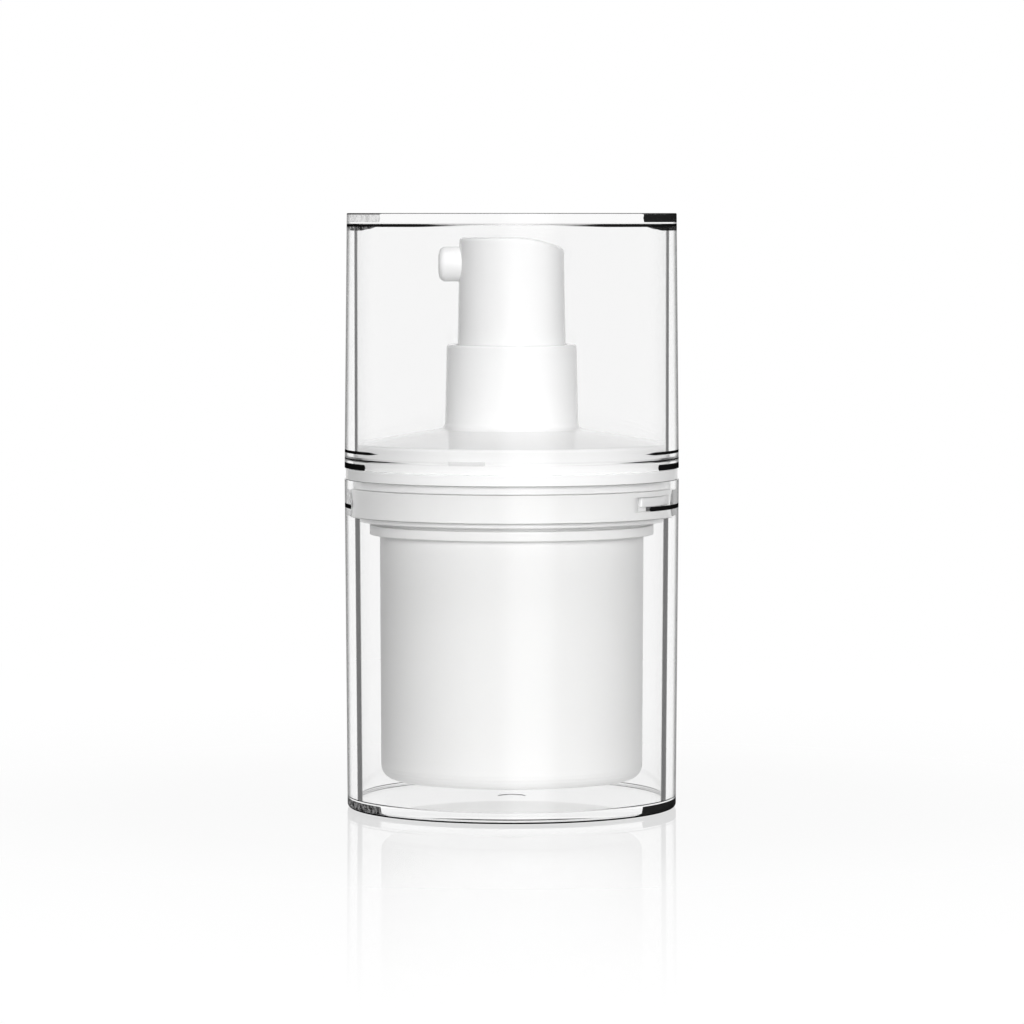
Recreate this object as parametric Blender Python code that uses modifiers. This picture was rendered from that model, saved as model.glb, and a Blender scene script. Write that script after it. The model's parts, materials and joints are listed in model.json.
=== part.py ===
"""Refillable airless pump bottle of about 30 ml.

A clear outer base and a clear over-cap stand round a white refill: a cartridge with a follower
piston, a pump, and a shoulder collar whose lugs turn into the windows of a lock ring.

Sizes are in millimetres and the model is in metres. The origin is the centre of the base's
underside, +Z is up the bottle's axis, and the nozzle points along -X.
"""

import math

import bmesh
import bpy
from mathutils import Matrix, Vector

MM = 0.001

# Facets round each piece
SIDES_LARGE = 40
SIDES_HEAD = 32
SIDES_SMALL = 24
SIDES_NOZZLE = 16
EDGE_STEPS = 2          # facets round a small edge
ROUND_STEPS = 3         # round a fillet
FOOT_STEPS = 4          # round a foot, a spout's tip or a lug
WINDOW_STEPS = 6
SHARP_ANGLE = math.radians(35)

# How shapes are cut and joined
CUT_PAST = 0.5          # how far a cutter reaches past what it cuts
ROOT_DEPTH = 0.5        # how deep a lug or a bead is rooted in its wall

# Clearances
SEAT_GAP = 0.1          # between pieces that rest on each other
FIT_GAP = 0.1           # all round a piece that is pressed or snapped in
RUN_GAP = 0.2           # all round a piece that turns
SLIDE_GAP = 0.15        # all round a piece that slides
SEAL_GAP = 0.1          # all round a sealing lip
PLUG_GAP = 0.16         # all round the collar's plug in the base's lip
SNAP_GAP = 0.15         # all round a snap bead in its groove

# Clear outer base
OUTER_RADIUS = 24.0     # base rim and cap mouth
BASE_HEIGHT = 47.25     # underside to rim
BASE_WALL = 1.5
BASE_FLOOR = 1.5
BASE_DRAFT = 0.35       # how much narrower the foot is
BORE_DRAFT = 0.3        # how much narrower the bore is at the floor
FOOT_ROUND = 1.3
FLOOR_ROUND = 0.4
RIM_CHAMFER = 0.12
GATE_RADIUS = 2.0       # moulding mark in the middle of the floor
GATE_DEPTH = 0.15
LIP_DEPTH = 1.25        # rim down to the top of the lock ring
LIP_STEP = 0.36         # lip bore beyond the main bore
RING_STEP = 0.7         # ring seat beyond the main bore

# Lock ring, snapped in under the lip
RING_HEIGHT = 3.9
RING_WALL = 0.95
WINDOW_DROP = 0.7       # ring top down to the window
WINDOW_HEIGHT = 2.1
WINDOW_START = -37.4    # degrees from +X, anticlockwise from above
WINDOW_SPAN = 40.4
LUG_COUNT = 2

# Bayonet lugs on the collar's skirt
LUG_REACH = 0.65
LUG_HEIGHT = 1.35
LUG_DROP = 0.1          # window top down to the lug
LUG_SPAN = 26.0
LUG_SIDE_GAP = 0.6      # degrees at each end of a lug
TWIST = 27.0            # degrees from locked to free

# Shoulder collar
FLANGE_THICKNESS = 1.45
FLANGE_INSET = 0.15     # flange inside the outer wall
SPIGOT_LOW_HEIGHT = 1.4
SPIGOT_HEIGHT = 3.5     # flange top up to the cone's edge
SPIGOT_WALL = 1.45
SHOULDER_WALL = 1.4
SHOULDER_ROUND = 0.5
CONE_RISE = 2.1
NECK_HEIGHT = 12.0
NECK_WALL = 1.18
NECK_DRAFT = 0.27
NECK_EDGE = 0.35
NECK_FILLET = 0.9
SKIRT_WALL = 2.05
SKIRT_BELOW_RING = 0.8
SKIRT_LEDGE_GAP = 0.1   # collar above the lock ring's top
CLAMP_WALL = 1.2        # ring wall that holds the deck down
CLAMP_INSET = 1.1       # clamp wall inside the skirt's bore
BEAD_COUNT = 3          # interrupted snap bead on the spigot
BEAD_HEIGHT = 0.6
BEAD_LOW = 1.2          # flange top up to the bead
BEAD_START = -112.6
BEAD_SPAN = 13.2
BEAD_CLEARANCE = 0.12   # beads inside the cap's mouth, so that it pulls off

# Over-cap
CAP_WALL = 1.5
CAP_TOP_PLATE = 1.5
CAP_DRAFT = 0.22
CAP_EDGE = 0.3
CAP_INNER_ROUND = 1.0
CAP_HEAD_ROOM = 2.1     # actuator up to the cap's ceiling
CAP_MOUTH_DEPTH = 2.6
CAP_MOUTH_STEP = 0.32   # mouth bore beyond the main bore
CAP_MOUTH_CHAMFER = 0.25
CAP_GROOVE_LOW = 1.1
CAP_GROOVE_HEIGHT = 0.6
CAP_GROOVE_DEPTH = 0.25
SPIGOT_GAP = 0.22       # lower spigot inside the cap's mouth

# Cartridge
CARTRIDGE_WALL = 1.2
CARTRIDGE_NECK_WALL = 1.95
CARTRIDGE_FLOOR = 1.2
CARTRIDGE_FLOOR_GAP = 2.7   # base floor up to the cartridge
CARTRIDGE_ROUND = 2.0
CARTRIDGE_INNER_ROUND = 0.8
CARTRIDGE_DRAFT = 0.15
CARTRIDGE_FLANGE = 1.4
CARTRIDGE_FLANGE_REACH = 0.7
CARTRIDGE_HANG = 0.5    # skirt down to the cartridge's flange
SNAP_DROP = 1.4         # cartridge mouth down to its snap bead
SNAP_HEIGHT = 0.9
SNAP_REACH = 0.3
VENT_RADIUS = 3.0       # lets air in below the follower

# Pump deck, which closes the cartridge
DECK_LIFT = 0.25        # flange underside up to the deck's top
DECK_THICKNESS = 1.1
DECK_GASKET = 0.5
DECK_GASKET_WIDTH = 1.7
DECK_PLUG_WALL = 1.0
DECK_PLUG_DEPTH = 3.5
HUB_HEIGHT = 3.8
HUB_WALL = 1.05

# Follower piston
FOLLOWER_HEIGHT = 7.0
FOLLOWER_REST = 0.3     # above the cartridge's floor
FOLLOWER_LIP_WALL = 0.9
FOLLOWER_LIP = 0.7
FOLLOWER_WAIST = 0.4
FOLLOWER_WEB = 1.0
FOLLOWER_WEB_DROP = 2.1
WELL_WALL = 1.0
WELL_FLOOR = 0.8
WELL_GAP = 1.0          # round the pump when the cartridge is empty

# Pump
PRESS_TRAVEL = 4.2
PISTON_SLIP = 0.6       # how far the piston slips on the stem to open its port
BARREL_WALL = 1.0
HOUSING_FLANGE = 1.0
HOUSING_GASKET = 0.4
HOUSING_FLOOR = 1.3
HOUSING_CHAMFER = 0.8
CHAPLET_PLATE = 1.2
CHAPLET_WALL = 1.2
CHAPLET_OVERLAP = 1.9   # skirt down over the hub
GUIDE_HEIGHT = 1.3
GUIDE_WALL = 1.55
STEM_RADIUS = 2.2
STEM_BORE = 1.3
STEM_SHOULDER = 0.5
STEM_SHOULDER_REACH = 1.0
STEM_SEAL_HEIGHT = 0.8
STEM_SEAL_NOTCH = 0.2
PISTON_HEIGHT = 3.4
PISTON_LIP = 0.6
PISTON_WAIST = 0.6
ROD_RADIUS = 1.1
ROD_FLANGE = 0.8
ROD_FLANGE_GAP = 0.6    # rod flange inside the barrel's bore
ROD_LENGTH = 8.9
ROD_CHAMFER = 0.25
PORT_HEIGHT = 0.6       # rod flange up to the stem
PEDESTAL_HEIGHT = 2.8
PEDESTAL_WALL = 0.9
PEDESTAL_GAP = 0.9      # rod flange above the pedestal when pressed
SPRING_WIRE = 0.5
SPRING_TURNS = 5
SPRING_CLOSED_TURNS = 1
SPRING_POINTS = 9       # in each turn
BALL_RADIUS = 1.5
BALL_CHAMBER_GAP = 0.25
BALL_SEAT_GAP = 0.05
BALL_LIFT = 0.9
BALL_RIDGE = 0.15       # ridge over the ball inside its radius
INLET_RADIUS = 1.0
INLET_DEPTH = 1.0
SEAT_RISE = 0.6
INLET_SPOUT = 0.5

# Actuator
ACTUATOR_RADIUS = 7.75  # where it enters the neck
ACTUATOR_DRAFT = 0.25
NECK_GAP = 0.4
ACTUATOR_HEIGHT = 15.3  # above the neck
ACTUATOR_EDGE = 0.5
ACTUATOR_WALL = 1.25
ACTUATOR_ROOF = 3.0
ACTUATOR_CLEARANCE = 1.5    # above the chaplet when pressed
COLUMN_WALL = 1.1
COLUMN_CLEARANCE = 0.8  # above the guide when pressed
SOCKET_GAP = 0.1
SOCKET_DROP = 8.0       # nozzle axis down to the socket's roof
STEM_TOP_GAP = 0.4
SLOPE_DROP = 2.0        # fall of the top at its far edge
CHANNEL_RADIUS = 1.2
SPOUT_ROOT = 1.75       # from the axis to where the spout starts, inside the column
TOP_RINGS = 3           # rings of facets across the top, which the slope bends

# Nozzle
NOZZLE_DROP = 3.8       # actuator top down to the nozzle's axis
NOZZLE_RADIUS = 2.5
NOZZLE_REACH = 10.65    # tip from the bottle's axis
NOZZLE_ROUND = 1.0
NOZZLE_DOME = 0.15
SPOUT_BORE = 0.95       # radius of the way from the channel to the valve
POCKET_RADIUS = 1.6
POCKET_DEPTH = 2.7
VALVE_THICKNESS = 0.5
VALVE_SLIT = 0.3
INSERT_INSET = 0.15
ORIFICE_RADIUS = 0.5
ORIFICE_FLARE = 0.4

# Radii worked out from the sizes above
base_bore = OUTER_RADIUS - BASE_WALL
lip_bore = base_bore + LIP_STEP
seat_radius = base_bore + RING_STEP
ring_radius = seat_radius - FIT_GAP
ring_bore = ring_radius - RING_WALL
skirt_radius = ring_bore - RUN_GAP
skirt_bore = skirt_radius - SKIRT_WALL
plug_radius = lip_bore - PLUG_GAP
cartridge_neck = skirt_bore - RUN_GAP
snap_radius = cartridge_neck + SNAP_REACH
cartridge_bore = cartridge_neck - CARTRIDGE_NECK_WALL
cap_bore = OUTER_RADIUS - CAP_WALL
mouth_bore = cap_bore + CAP_MOUTH_STEP
spigot_low = mouth_bore - SPIGOT_GAP
spigot_high = cap_bore - SLIDE_GAP
spigot_bore = spigot_low - SPIGOT_WALL - SLIDE_GAP - FIT_GAP
neck_bore = ACTUATOR_RADIUS + NECK_GAP
neck_radius = neck_bore + NECK_WALL
chaplet_radius = neck_bore - NECK_GAP
chaplet_bore = chaplet_radius - CHAPLET_WALL
hub_radius = chaplet_bore - SLIDE_GAP
hub_bore = hub_radius - HUB_WALL
barrel_radius = hub_bore - SLIDE_GAP
barrel_bore = barrel_radius - BARREL_WALL
piston_radius = barrel_bore - SEAL_GAP
guide_bore = STEM_RADIUS + SLIDE_GAP
chamber_radius = BALL_RADIUS + BALL_CHAMBER_GAP
pedestal_radius = chamber_radius + PEDESTAL_WALL
socket_radius = STEM_RADIUS + SOCKET_GAP
column_radius = socket_radius + COLUMN_WALL

# Heights, from the rim up
rim_z = BASE_HEIGHT
flange_low = rim_z + SEAT_GAP
flange_top = flange_low + FLANGE_THICKNESS
spigot_step = flange_top + SPIGOT_LOW_HEIGHT
cone_edge = flange_top + SPIGOT_HEIGHT
cone_top = cone_edge + CONE_RISE
neck_top = cone_top + NECK_HEIGHT
actuator_top = neck_top + ACTUATOR_HEIGHT
nozzle_z = actuator_top - NOZZLE_DROP
cap_mouth = flange_top + SEAT_GAP
cap_ceiling = actuator_top + CAP_HEAD_ROOM
cap_top = cap_ceiling + CAP_TOP_PLATE

# Heights, from the rim down
ring_top = rim_z - LIP_DEPTH
ring_low = ring_top - RING_HEIGHT
window_top = ring_top - WINDOW_DROP
window_low = window_top - WINDOW_HEIGHT
lug_top = window_top - LUG_DROP
lug_low = lug_top - LUG_HEIGHT
skirt_low = ring_low - SKIRT_BELOW_RING
cartridge_flange_top = skirt_low - CARTRIDGE_HANG
cartridge_flange_low = cartridge_flange_top - CARTRIDGE_FLANGE
cartridge_low = BASE_FLOOR + CARTRIDGE_FLOOR_GAP
cartridge_floor = cartridge_low + CARTRIDGE_FLOOR
follower_low = cartridge_floor + FOLLOWER_REST
follower_top = follower_low + FOLLOWER_HEIGHT

# Heights of the deck and the pump
deck_top = flange_low + DECK_LIFT
deck_low = deck_top - DECK_THICKNESS
deck_gasket_top = deck_low - SEAT_GAP
deck_gasket_low = deck_gasket_top - DECK_GASKET
cartridge_top = deck_gasket_low - SEAT_GAP
plug_low = deck_low - DECK_PLUG_DEPTH
hub_top = deck_top + HUB_HEIGHT
housing_gasket_low = hub_top + SEAT_GAP
housing_flange_low = housing_gasket_low + HOUSING_GASKET + SEAT_GAP
housing_top = housing_flange_low + HOUSING_FLANGE
chaplet_low = housing_top + SEAT_GAP
chaplet_top = chaplet_low + CHAPLET_PLATE
guide_top = chaplet_top + GUIDE_HEIGHT
stem_seal_top = housing_top - SEAT_GAP
stem_seal_low = stem_seal_top - STEM_SEAL_HEIGHT
shoulder_top = stem_seal_low - SEAT_GAP
shoulder_low = shoulder_top - STEM_SHOULDER
piston_top = shoulder_low - PISTON_SLIP - SEAT_GAP
piston_low = piston_top - PISTON_HEIGHT
rod_flange_top = piston_low - SEAT_GAP
rod_flange_low = rod_flange_top - ROD_FLANGE
stem_low = rod_flange_top + PORT_HEIGHT
pedestal_top = rod_flange_low - PRESS_TRAVEL - PEDESTAL_GAP
spring_seat = pedestal_top - PEDESTAL_HEIGHT
housing_low = spring_seat - HOUSING_FLOOR
inlet_low = housing_low - INLET_SPOUT
inlet_top = inlet_low + INLET_DEPTH
seat_top = inlet_top + SEAT_RISE
ball_z = inlet_top + math.sqrt((BALL_RADIUS + BALL_SEAT_GAP) ** 2 - INLET_RADIUS ** 2)
ridge_radius = BALL_RADIUS - BALL_RIDGE
ridge_z = ball_z + BALL_LIFT + math.sqrt((BALL_RADIUS + BALL_SEAT_GAP) ** 2 - ridge_radius ** 2)
actuator_low = chaplet_top + PRESS_TRAVEL + ACTUATOR_CLEARANCE
column_low = guide_top + PRESS_TRAVEL + COLUMN_CLEARANCE
socket_roof = nozzle_z - SOCKET_DROP
stem_top = socket_roof - STEM_TOP_GAP
cavity_top = actuator_top - ACTUATOR_ROOF
pocket_start = NOZZLE_REACH - POCKET_DEPTH

# Plastics and metals: colour, roughness, metallic, alpha
CLEAR = ((0.93, 0.95, 0.96), 0.03, 0.0, 0.25)
WHITE_GLOSS = ((0.86, 0.86, 0.86), 0.18, 0.0, 1.0)
WHITE_SATIN = ((0.84, 0.84, 0.83), 0.35, 0.0, 1.0)
NATURAL = ((0.80, 0.81, 0.79), 0.45, 0.0, 1.0)
ELASTOMER = ((0.62, 0.63, 0.64), 0.6, 0.0, 1.0)
STEEL = ((0.62, 0.62, 0.63), 0.25, 1.0, 1.0)


def clear_scene():
    """Empty the scene."""
    for obj in list(bpy.data.objects):
        bpy.data.objects.remove(obj, do_unlink=True)


def new_collection(name):
    """A collection linked to the scene."""
    collection = bpy.data.collections.new(name)
    bpy.context.scene.collection.children.link(collection)
    return collection


def new_material(name, finish):
    """A Principled material from a colour, roughness, metallic value and alpha."""
    colour, roughness, metallic, alpha = finish
    material = bpy.data.materials.new(name)
    material.use_nodes = True
    shader = material.node_tree.nodes["Principled BSDF"]
    shader.inputs["Base Color"].default_value = (*colour, 1.0)
    shader.inputs["Roughness"].default_value = roughness
    shader.inputs["Metallic"].default_value = metallic
    shader.inputs["Alpha"].default_value = alpha
    material.diffuse_color = (*colour, alpha)
    return material


def arc(centre, radius, start, end, steps):
    """Points (r, z) on an arc, angles in degrees from +r towards +z."""
    points = []
    for step in range(steps + 1):
        angle = math.radians(start + (end - start) * step / steps)
        points.append((centre[0] + radius * math.cos(angle), centre[1] + radius * math.sin(angle)))
    return points


def turned(name, profile, sides, collection):
    """A profile of (r, z) points turned about Z. It closes on itself unless it ends on the axis."""
    points = [Vector((r, 0.0, z)) * MM for r, z in profile]
    edges = [(i, i + 1) for i in range(len(points) - 1)]
    if profile[0][0] > 0:
        edges.append((len(points) - 1, 0))
    mesh = bpy.data.meshes.new(name)
    mesh.from_pydata(points, edges, [])
    obj = bpy.data.objects.new(name, mesh)
    collection.objects.link(obj)
    screw = obj.modifiers.new("Turn", "SCREW")
    screw.steps = sides
    screw.render_steps = sides
    screw.use_merge_vertices = True
    screw.merge_threshold = 0.00001
    return obj


def sector(name, radii, heights, start, span, steps, collection):
    """A block bent round the axis: a rectangle spun through an angle in degrees."""
    bm = bmesh.new()
    turn = Matrix.Rotation(math.radians(start), 3, "Z")
    corners = [
        (radii[0], heights[0]),
        (radii[1], heights[0]),
        (radii[1], heights[1]),
        (radii[0], heights[1]),
    ]
    verts = [bm.verts.new(turn @ Vector((r, 0.0, z)) * MM) for r, z in corners]
    face = bm.faces.new(verts)
    bmesh.ops.spin(
        bm,
        geom=[face, *face.edges, *face.verts],
        cent=(0, 0, 0),
        axis=(0, 0, 1),
        angle=math.radians(span),
        steps=steps,
        use_duplicate=False,
    )
    bmesh.ops.recalc_face_normals(bm, faces=bm.faces)
    mesh = bpy.data.meshes.new(name)
    bm.to_mesh(mesh)
    bm.free()
    obj = bpy.data.objects.new(name, mesh)
    collection.objects.link(obj)
    return obj


def combine(obj, tool, operation):
    """Cut a tool out of an object, or join it on, with a Boolean modifier."""
    tool.hide_render = True
    tool.display_type = "WIRE"
    boolean = obj.modifiers.new(tool.name, "BOOLEAN")
    boolean.operation = operation
    boolean.object = tool
    boolean.solver = "EXACT"


def settle(obj):
    """Turn an object's modifiers into its mesh, shaded smooth with sharp corners."""
    graph = bpy.context.evaluated_depsgraph_get()
    mesh = bpy.data.meshes.new_from_object(obj.evaluated_get(graph))
    obj.modifiers.clear()
    obj.data = mesh
    mesh.name = obj.name
    mesh.shade_smooth()
    mesh.set_sharp_from_angle(angle=SHARP_ANGLE)


def carry(child, carrier):
    """Let an unturned empty carry a piece, or another empty, that stays where it is."""
    child.parent = carrier
    child.matrix_parent_inverse = Matrix.Translation(-carrier.location)


def joint_empty(name, height, carrier, collection):
    """An empty on the bottle's axis that carries one moving body."""
    empty = bpy.data.objects.new(name, None)
    empty.empty_display_size = 5 * MM
    empty.location = Vector((0.0, 0.0, height)) * MM
    collection.objects.link(empty)
    if carrier is not None:
        carry(empty, carrier)
    return empty


def finish(obj, surface, carrier):
    """Give a piece its mesh, its own material and the empty that carries it."""
    settle(obj)
    obj.data.materials.clear()
    obj.data.materials.append(new_material(obj.name, surface))
    carry(obj, carrier)
    return obj


def cone_height(radius):
    """Height of the shoulder's sloped top at a radius."""
    foot = neck_radius + NECK_DRAFT
    return cone_top - (radius - foot) * CONE_RISE / (spigot_high - foot)


def under_cone(radius):
    """Point on the underside of the shoulder's slope."""
    return (radius, cone_height(radius) - SHOULDER_WALL)


def make_base_vessel(collection, carrier):
    """Clear outer base: thick wall, a seat for the lock ring, and a lip over it."""
    floor_bore = base_bore - BORE_DRAFT
    foot = OUTER_RADIUS - BASE_DRAFT
    ledge = ring_low - SEAT_GAP
    lip_low = ring_top + SEAT_GAP
    profile = [
        (0.0, BASE_FLOOR - GATE_DEPTH),
        (GATE_RADIUS - GATE_DEPTH, BASE_FLOOR - GATE_DEPTH),
        (GATE_RADIUS, BASE_FLOOR),
        *arc(
            (floor_bore - FLOOR_ROUND, BASE_FLOOR + FLOOR_ROUND), FLOOR_ROUND, -90, 0, ROUND_STEPS
        ),
        (base_bore, ledge),
        (seat_radius, ledge),
        (seat_radius, lip_low),
        (lip_bore, lip_low),
        (lip_bore, rim_z - RIM_CHAMFER),
        (lip_bore + RIM_CHAMFER, rim_z),
        (OUTER_RADIUS - RIM_CHAMFER, rim_z),
        (OUTER_RADIUS, rim_z - RIM_CHAMFER),
        *arc((foot - FOOT_ROUND, FOOT_ROUND), FOOT_ROUND, 0, -90, FOOT_STEPS),
        (0.0, 0.0),
    ]
    return finish(turned("base_vessel", profile, SIDES_LARGE, collection), CLEAR, carrier)


def make_lock_ring(collection, tools, carrier):
    """White ring with a window for each lug, and a channel that leads the lug down into it."""
    profile = [
        (ring_bore, ring_top),
        (ring_radius, ring_top),
        (ring_radius, ring_low),
        (ring_bore, ring_low),
    ]
    ring = turned("lock_ring", profile, SIDES_LARGE, collection)
    inside = ring_bore - CUT_PAST
    channel_radius = skirt_radius + LUG_REACH + FIT_GAP
    for index in range(LUG_COUNT):
        start = WINDOW_START + index * 360 / LUG_COUNT
        window = sector(
            f"window_{index}", (inside, ring_radius + CUT_PAST), (window_low, window_top),
            start, WINDOW_SPAN, WINDOW_STEPS, tools,
        )
        channel = sector(
            f"channel_{index}", (inside, channel_radius), (window_low, ring_top + CUT_PAST),
            start + TWIST, LUG_SPAN + 2 * LUG_SIDE_GAP, FOOT_STEPS, tools,
        )
        combine(ring, window, "DIFFERENCE")
        combine(ring, channel, "DIFFERENCE")
    return finish(ring, WHITE_SATIN, carrier)


def make_shoulder_collar(collection, tools, carrier):
    """Neck, slope, spigot, flange and skirt in one moulding, with lugs and snap beads."""
    neck_foot = neck_radius + NECK_DRAFT
    clamp_outer = skirt_bore - CLAMP_INSET
    clamp_inner = clamp_outer - CLAMP_WALL
    snap_top = cartridge_top - SNAP_DROP
    snap_low = snap_top - SNAP_HEIGHT
    edge = (neck_radius - NECK_EDGE, neck_top - NECK_EDGE)
    fillet = (neck_foot + NECK_FILLET, cone_top + NECK_FILLET)
    shoulder = (spigot_high - SHOULDER_ROUND, cone_edge - SHOULDER_ROUND)
    profile = [
        (neck_bore, neck_top),
        *arc(edge, NECK_EDGE, 90, 0, EDGE_STEPS),
        *arc(fillet, NECK_FILLET, 180, 260, ROUND_STEPS),
        *arc(shoulder, SHOULDER_ROUND, 80, 0, EDGE_STEPS),
        (spigot_high, spigot_step),
        (spigot_low, spigot_step),
        (spigot_low, flange_top),
        (OUTER_RADIUS - FLANGE_INSET, flange_top),
        (OUTER_RADIUS - FLANGE_INSET, flange_low),
        (plug_radius, flange_low),
        (plug_radius, ring_top + SKIRT_LEDGE_GAP),
        (skirt_radius, ring_top + SKIRT_LEDGE_GAP),
        (skirt_radius, skirt_low),
        (skirt_bore, skirt_low),
        (skirt_bore, snap_low - SLIDE_GAP),
        (snap_radius + SNAP_GAP, snap_low + SLIDE_GAP),
        (snap_radius + SNAP_GAP, snap_top - SLIDE_GAP),
        (skirt_bore, snap_top + SLIDE_GAP),
        (skirt_bore, flange_top),
        (spigot_bore, flange_top + SHOULDER_ROUND),
        under_cone(spigot_bore),
        under_cone(clamp_outer),
        (clamp_outer, deck_top + SEAT_GAP),
        (clamp_inner, deck_top + SEAT_GAP),
        under_cone(clamp_inner),
        under_cone(neck_bore),
    ]
    collar = turned("shoulder_collar", profile, SIDES_LARGE, collection)
    lug_radii = (skirt_radius - ROOT_DEPTH, skirt_radius + LUG_REACH)
    for index in range(LUG_COUNT):
        lug = sector(
            f"lug_{index}", lug_radii, (lug_low, lug_top),
            WINDOW_START + LUG_SIDE_GAP + index * 360 / LUG_COUNT, LUG_SPAN, FOOT_STEPS, tools,
        )
        combine(collar, lug, "UNION")
    bead_radii = (spigot_high - ROOT_DEPTH, mouth_bore - BEAD_CLEARANCE)
    bead_low = flange_top + BEAD_LOW
    for index in range(BEAD_COUNT):
        bead = sector(
            f"bead_{index}", bead_radii, (bead_low, bead_low + BEAD_HEIGHT),
            BEAD_START + index * 360 / BEAD_COUNT, BEAD_SPAN, ROUND_STEPS, tools,
        )
        combine(collar, bead, "UNION")
    return finish(collar, WHITE_GLOSS, carrier)


def make_over_cap(collection, carrier):
    """Clear cap: a flat top plate, a thick wall, and a grooved mouth that snaps on the beads."""
    top_radius = OUTER_RADIUS - CAP_DRAFT
    groove_low = cap_mouth + CAP_GROOVE_LOW
    groove_top = groove_low + CAP_GROOVE_HEIGHT
    groove_middle = (groove_low + groove_top) / 2
    mouth_top = cap_mouth + CAP_MOUTH_DEPTH
    inner_round = (cap_bore - CAP_INNER_ROUND, cap_ceiling - CAP_INNER_ROUND)
    profile = [
        (0.0, cap_top),
        *arc((top_radius - CAP_EDGE, cap_top - CAP_EDGE), CAP_EDGE, 90, 0, EDGE_STEPS),
        (OUTER_RADIUS, cap_mouth + RIM_CHAMFER),
        (OUTER_RADIUS - RIM_CHAMFER, cap_mouth),
        (mouth_bore + CAP_MOUTH_CHAMFER, cap_mouth),
        (mouth_bore, cap_mouth + CAP_MOUTH_CHAMFER),
        (mouth_bore, groove_low),
        (mouth_bore + CAP_GROOVE_DEPTH, groove_middle),
        (mouth_bore, groove_top),
        (mouth_bore, mouth_top),
        (cap_bore, mouth_top),
        *arc(inner_round, CAP_INNER_ROUND, 0, 90, ROUND_STEPS),
        (0.0, cap_ceiling),
    ]
    return finish(turned("over_cap", profile, SIDES_LARGE, collection), CLEAR, carrier)


def make_cartridge(collection, carrier):
    """Refill cup with a thick snap neck, a flange under the collar's skirt, and a vent hole."""
    top_radius = cartridge_bore + CARTRIDGE_WALL
    low_radius = top_radius - CARTRIDGE_DRAFT
    low_bore = cartridge_bore - CARTRIDGE_DRAFT
    flange_radius = cartridge_neck + CARTRIDGE_FLANGE_REACH
    snap_top = cartridge_top - SNAP_DROP
    snap_low = snap_top - SNAP_HEIGHT
    snap_slope = SNAP_REACH
    inner = CARTRIDGE_INNER_ROUND
    profile = [
        (VENT_RADIUS, cartridge_floor),
        *arc((low_bore - inner, cartridge_floor + inner), inner, -90, 0, ROUND_STEPS),
        (cartridge_bore, cartridge_flange_low),
        (cartridge_bore, cartridge_top),
        (cartridge_neck, cartridge_top),
        (cartridge_neck, snap_top),
        (snap_radius, snap_top - snap_slope),
        (snap_radius, snap_low + snap_slope),
        (cartridge_neck, snap_low),
        (cartridge_neck, cartridge_flange_top),
        (flange_radius, cartridge_flange_top),
        (flange_radius, cartridge_flange_low),
        (top_radius, cartridge_flange_low),
        *arc(
            (low_radius - CARTRIDGE_ROUND, cartridge_low + CARTRIDGE_ROUND),
            CARTRIDGE_ROUND, 0, -90, FOOT_STEPS,
        ),
        (VENT_RADIUS, cartridge_low),
    ]
    return finish(turned("cartridge", profile, SIDES_LARGE, collection), WHITE_SATIN, carrier)


def make_follower(collection, carrier):
    """Follower piston: two sealing lips, and a well that takes the pump's foot when empty."""
    lip_radius = cartridge_bore - CARTRIDGE_DRAFT - SEAL_GAP
    lip_bore_radius = lip_radius - FOLLOWER_LIP_WALL
    waist = lip_radius - FOLLOWER_WAIST
    well_bore = barrel_radius + WELL_GAP
    well_radius = well_bore + WELL_WALL
    web_top = follower_top - FOLLOWER_WEB_DROP
    web_low = web_top - FOLLOWER_WEB
    lip_low = follower_low + CARTRIDGE_INNER_ROUND
    profile = [
        (0.0, follower_low + WELL_FLOOR),
        (well_bore, follower_low + WELL_FLOOR),
        (well_bore, web_top),
        (lip_bore_radius, web_top),
        (lip_bore_radius, follower_top),
        (lip_radius, follower_top),
        (lip_radius, follower_top - FOLLOWER_LIP),
        (waist, follower_top - 2 * FOLLOWER_LIP),
        (waist, lip_low + 2 * FOLLOWER_LIP),
        (lip_radius, lip_low + FOLLOWER_LIP),
        (lip_radius, lip_low),
        (lip_bore_radius, lip_low),
        (lip_bore_radius, web_low),
        (well_radius, web_low),
        (well_radius, follower_low),
        (0.0, follower_low),
    ]
    return finish(turned("follower_piston", profile, SIDES_LARGE, collection), NATURAL, carrier)


def make_pump_deck(collection, carrier):
    """Plate that closes the cartridge, with a plug skirt below and a hub for the pump above."""
    rim = skirt_bore - RUN_GAP
    plug = cartridge_bore - RUN_GAP
    profile = [
        (hub_bore, hub_top),
        (hub_radius, hub_top),
        (hub_radius, deck_top),
        (rim, deck_top),
        (rim, deck_low),
        (plug, deck_low),
        (plug, plug_low),
        (plug - DECK_PLUG_WALL, plug_low),
        (plug - DECK_PLUG_WALL, deck_low),
        (hub_bore, deck_low),
    ]
    return finish(turned("pump_deck", profile, SIDES_LARGE, collection), WHITE_SATIN, carrier)


def make_cartridge_gasket(collection, carrier):
    """Flat ring between the deck's rim and the cartridge's mouth."""
    outer = cartridge_neck - FIT_GAP
    inner = outer - DECK_GASKET_WIDTH
    profile = [
        (inner, deck_gasket_top),
        (outer, deck_gasket_top),
        (outer, deck_gasket_low),
        (inner, deck_gasket_low),
    ]
    return finish(turned("cartridge_gasket", profile, SIDES_LARGE, collection), ELASTOMER, carrier)


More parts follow.
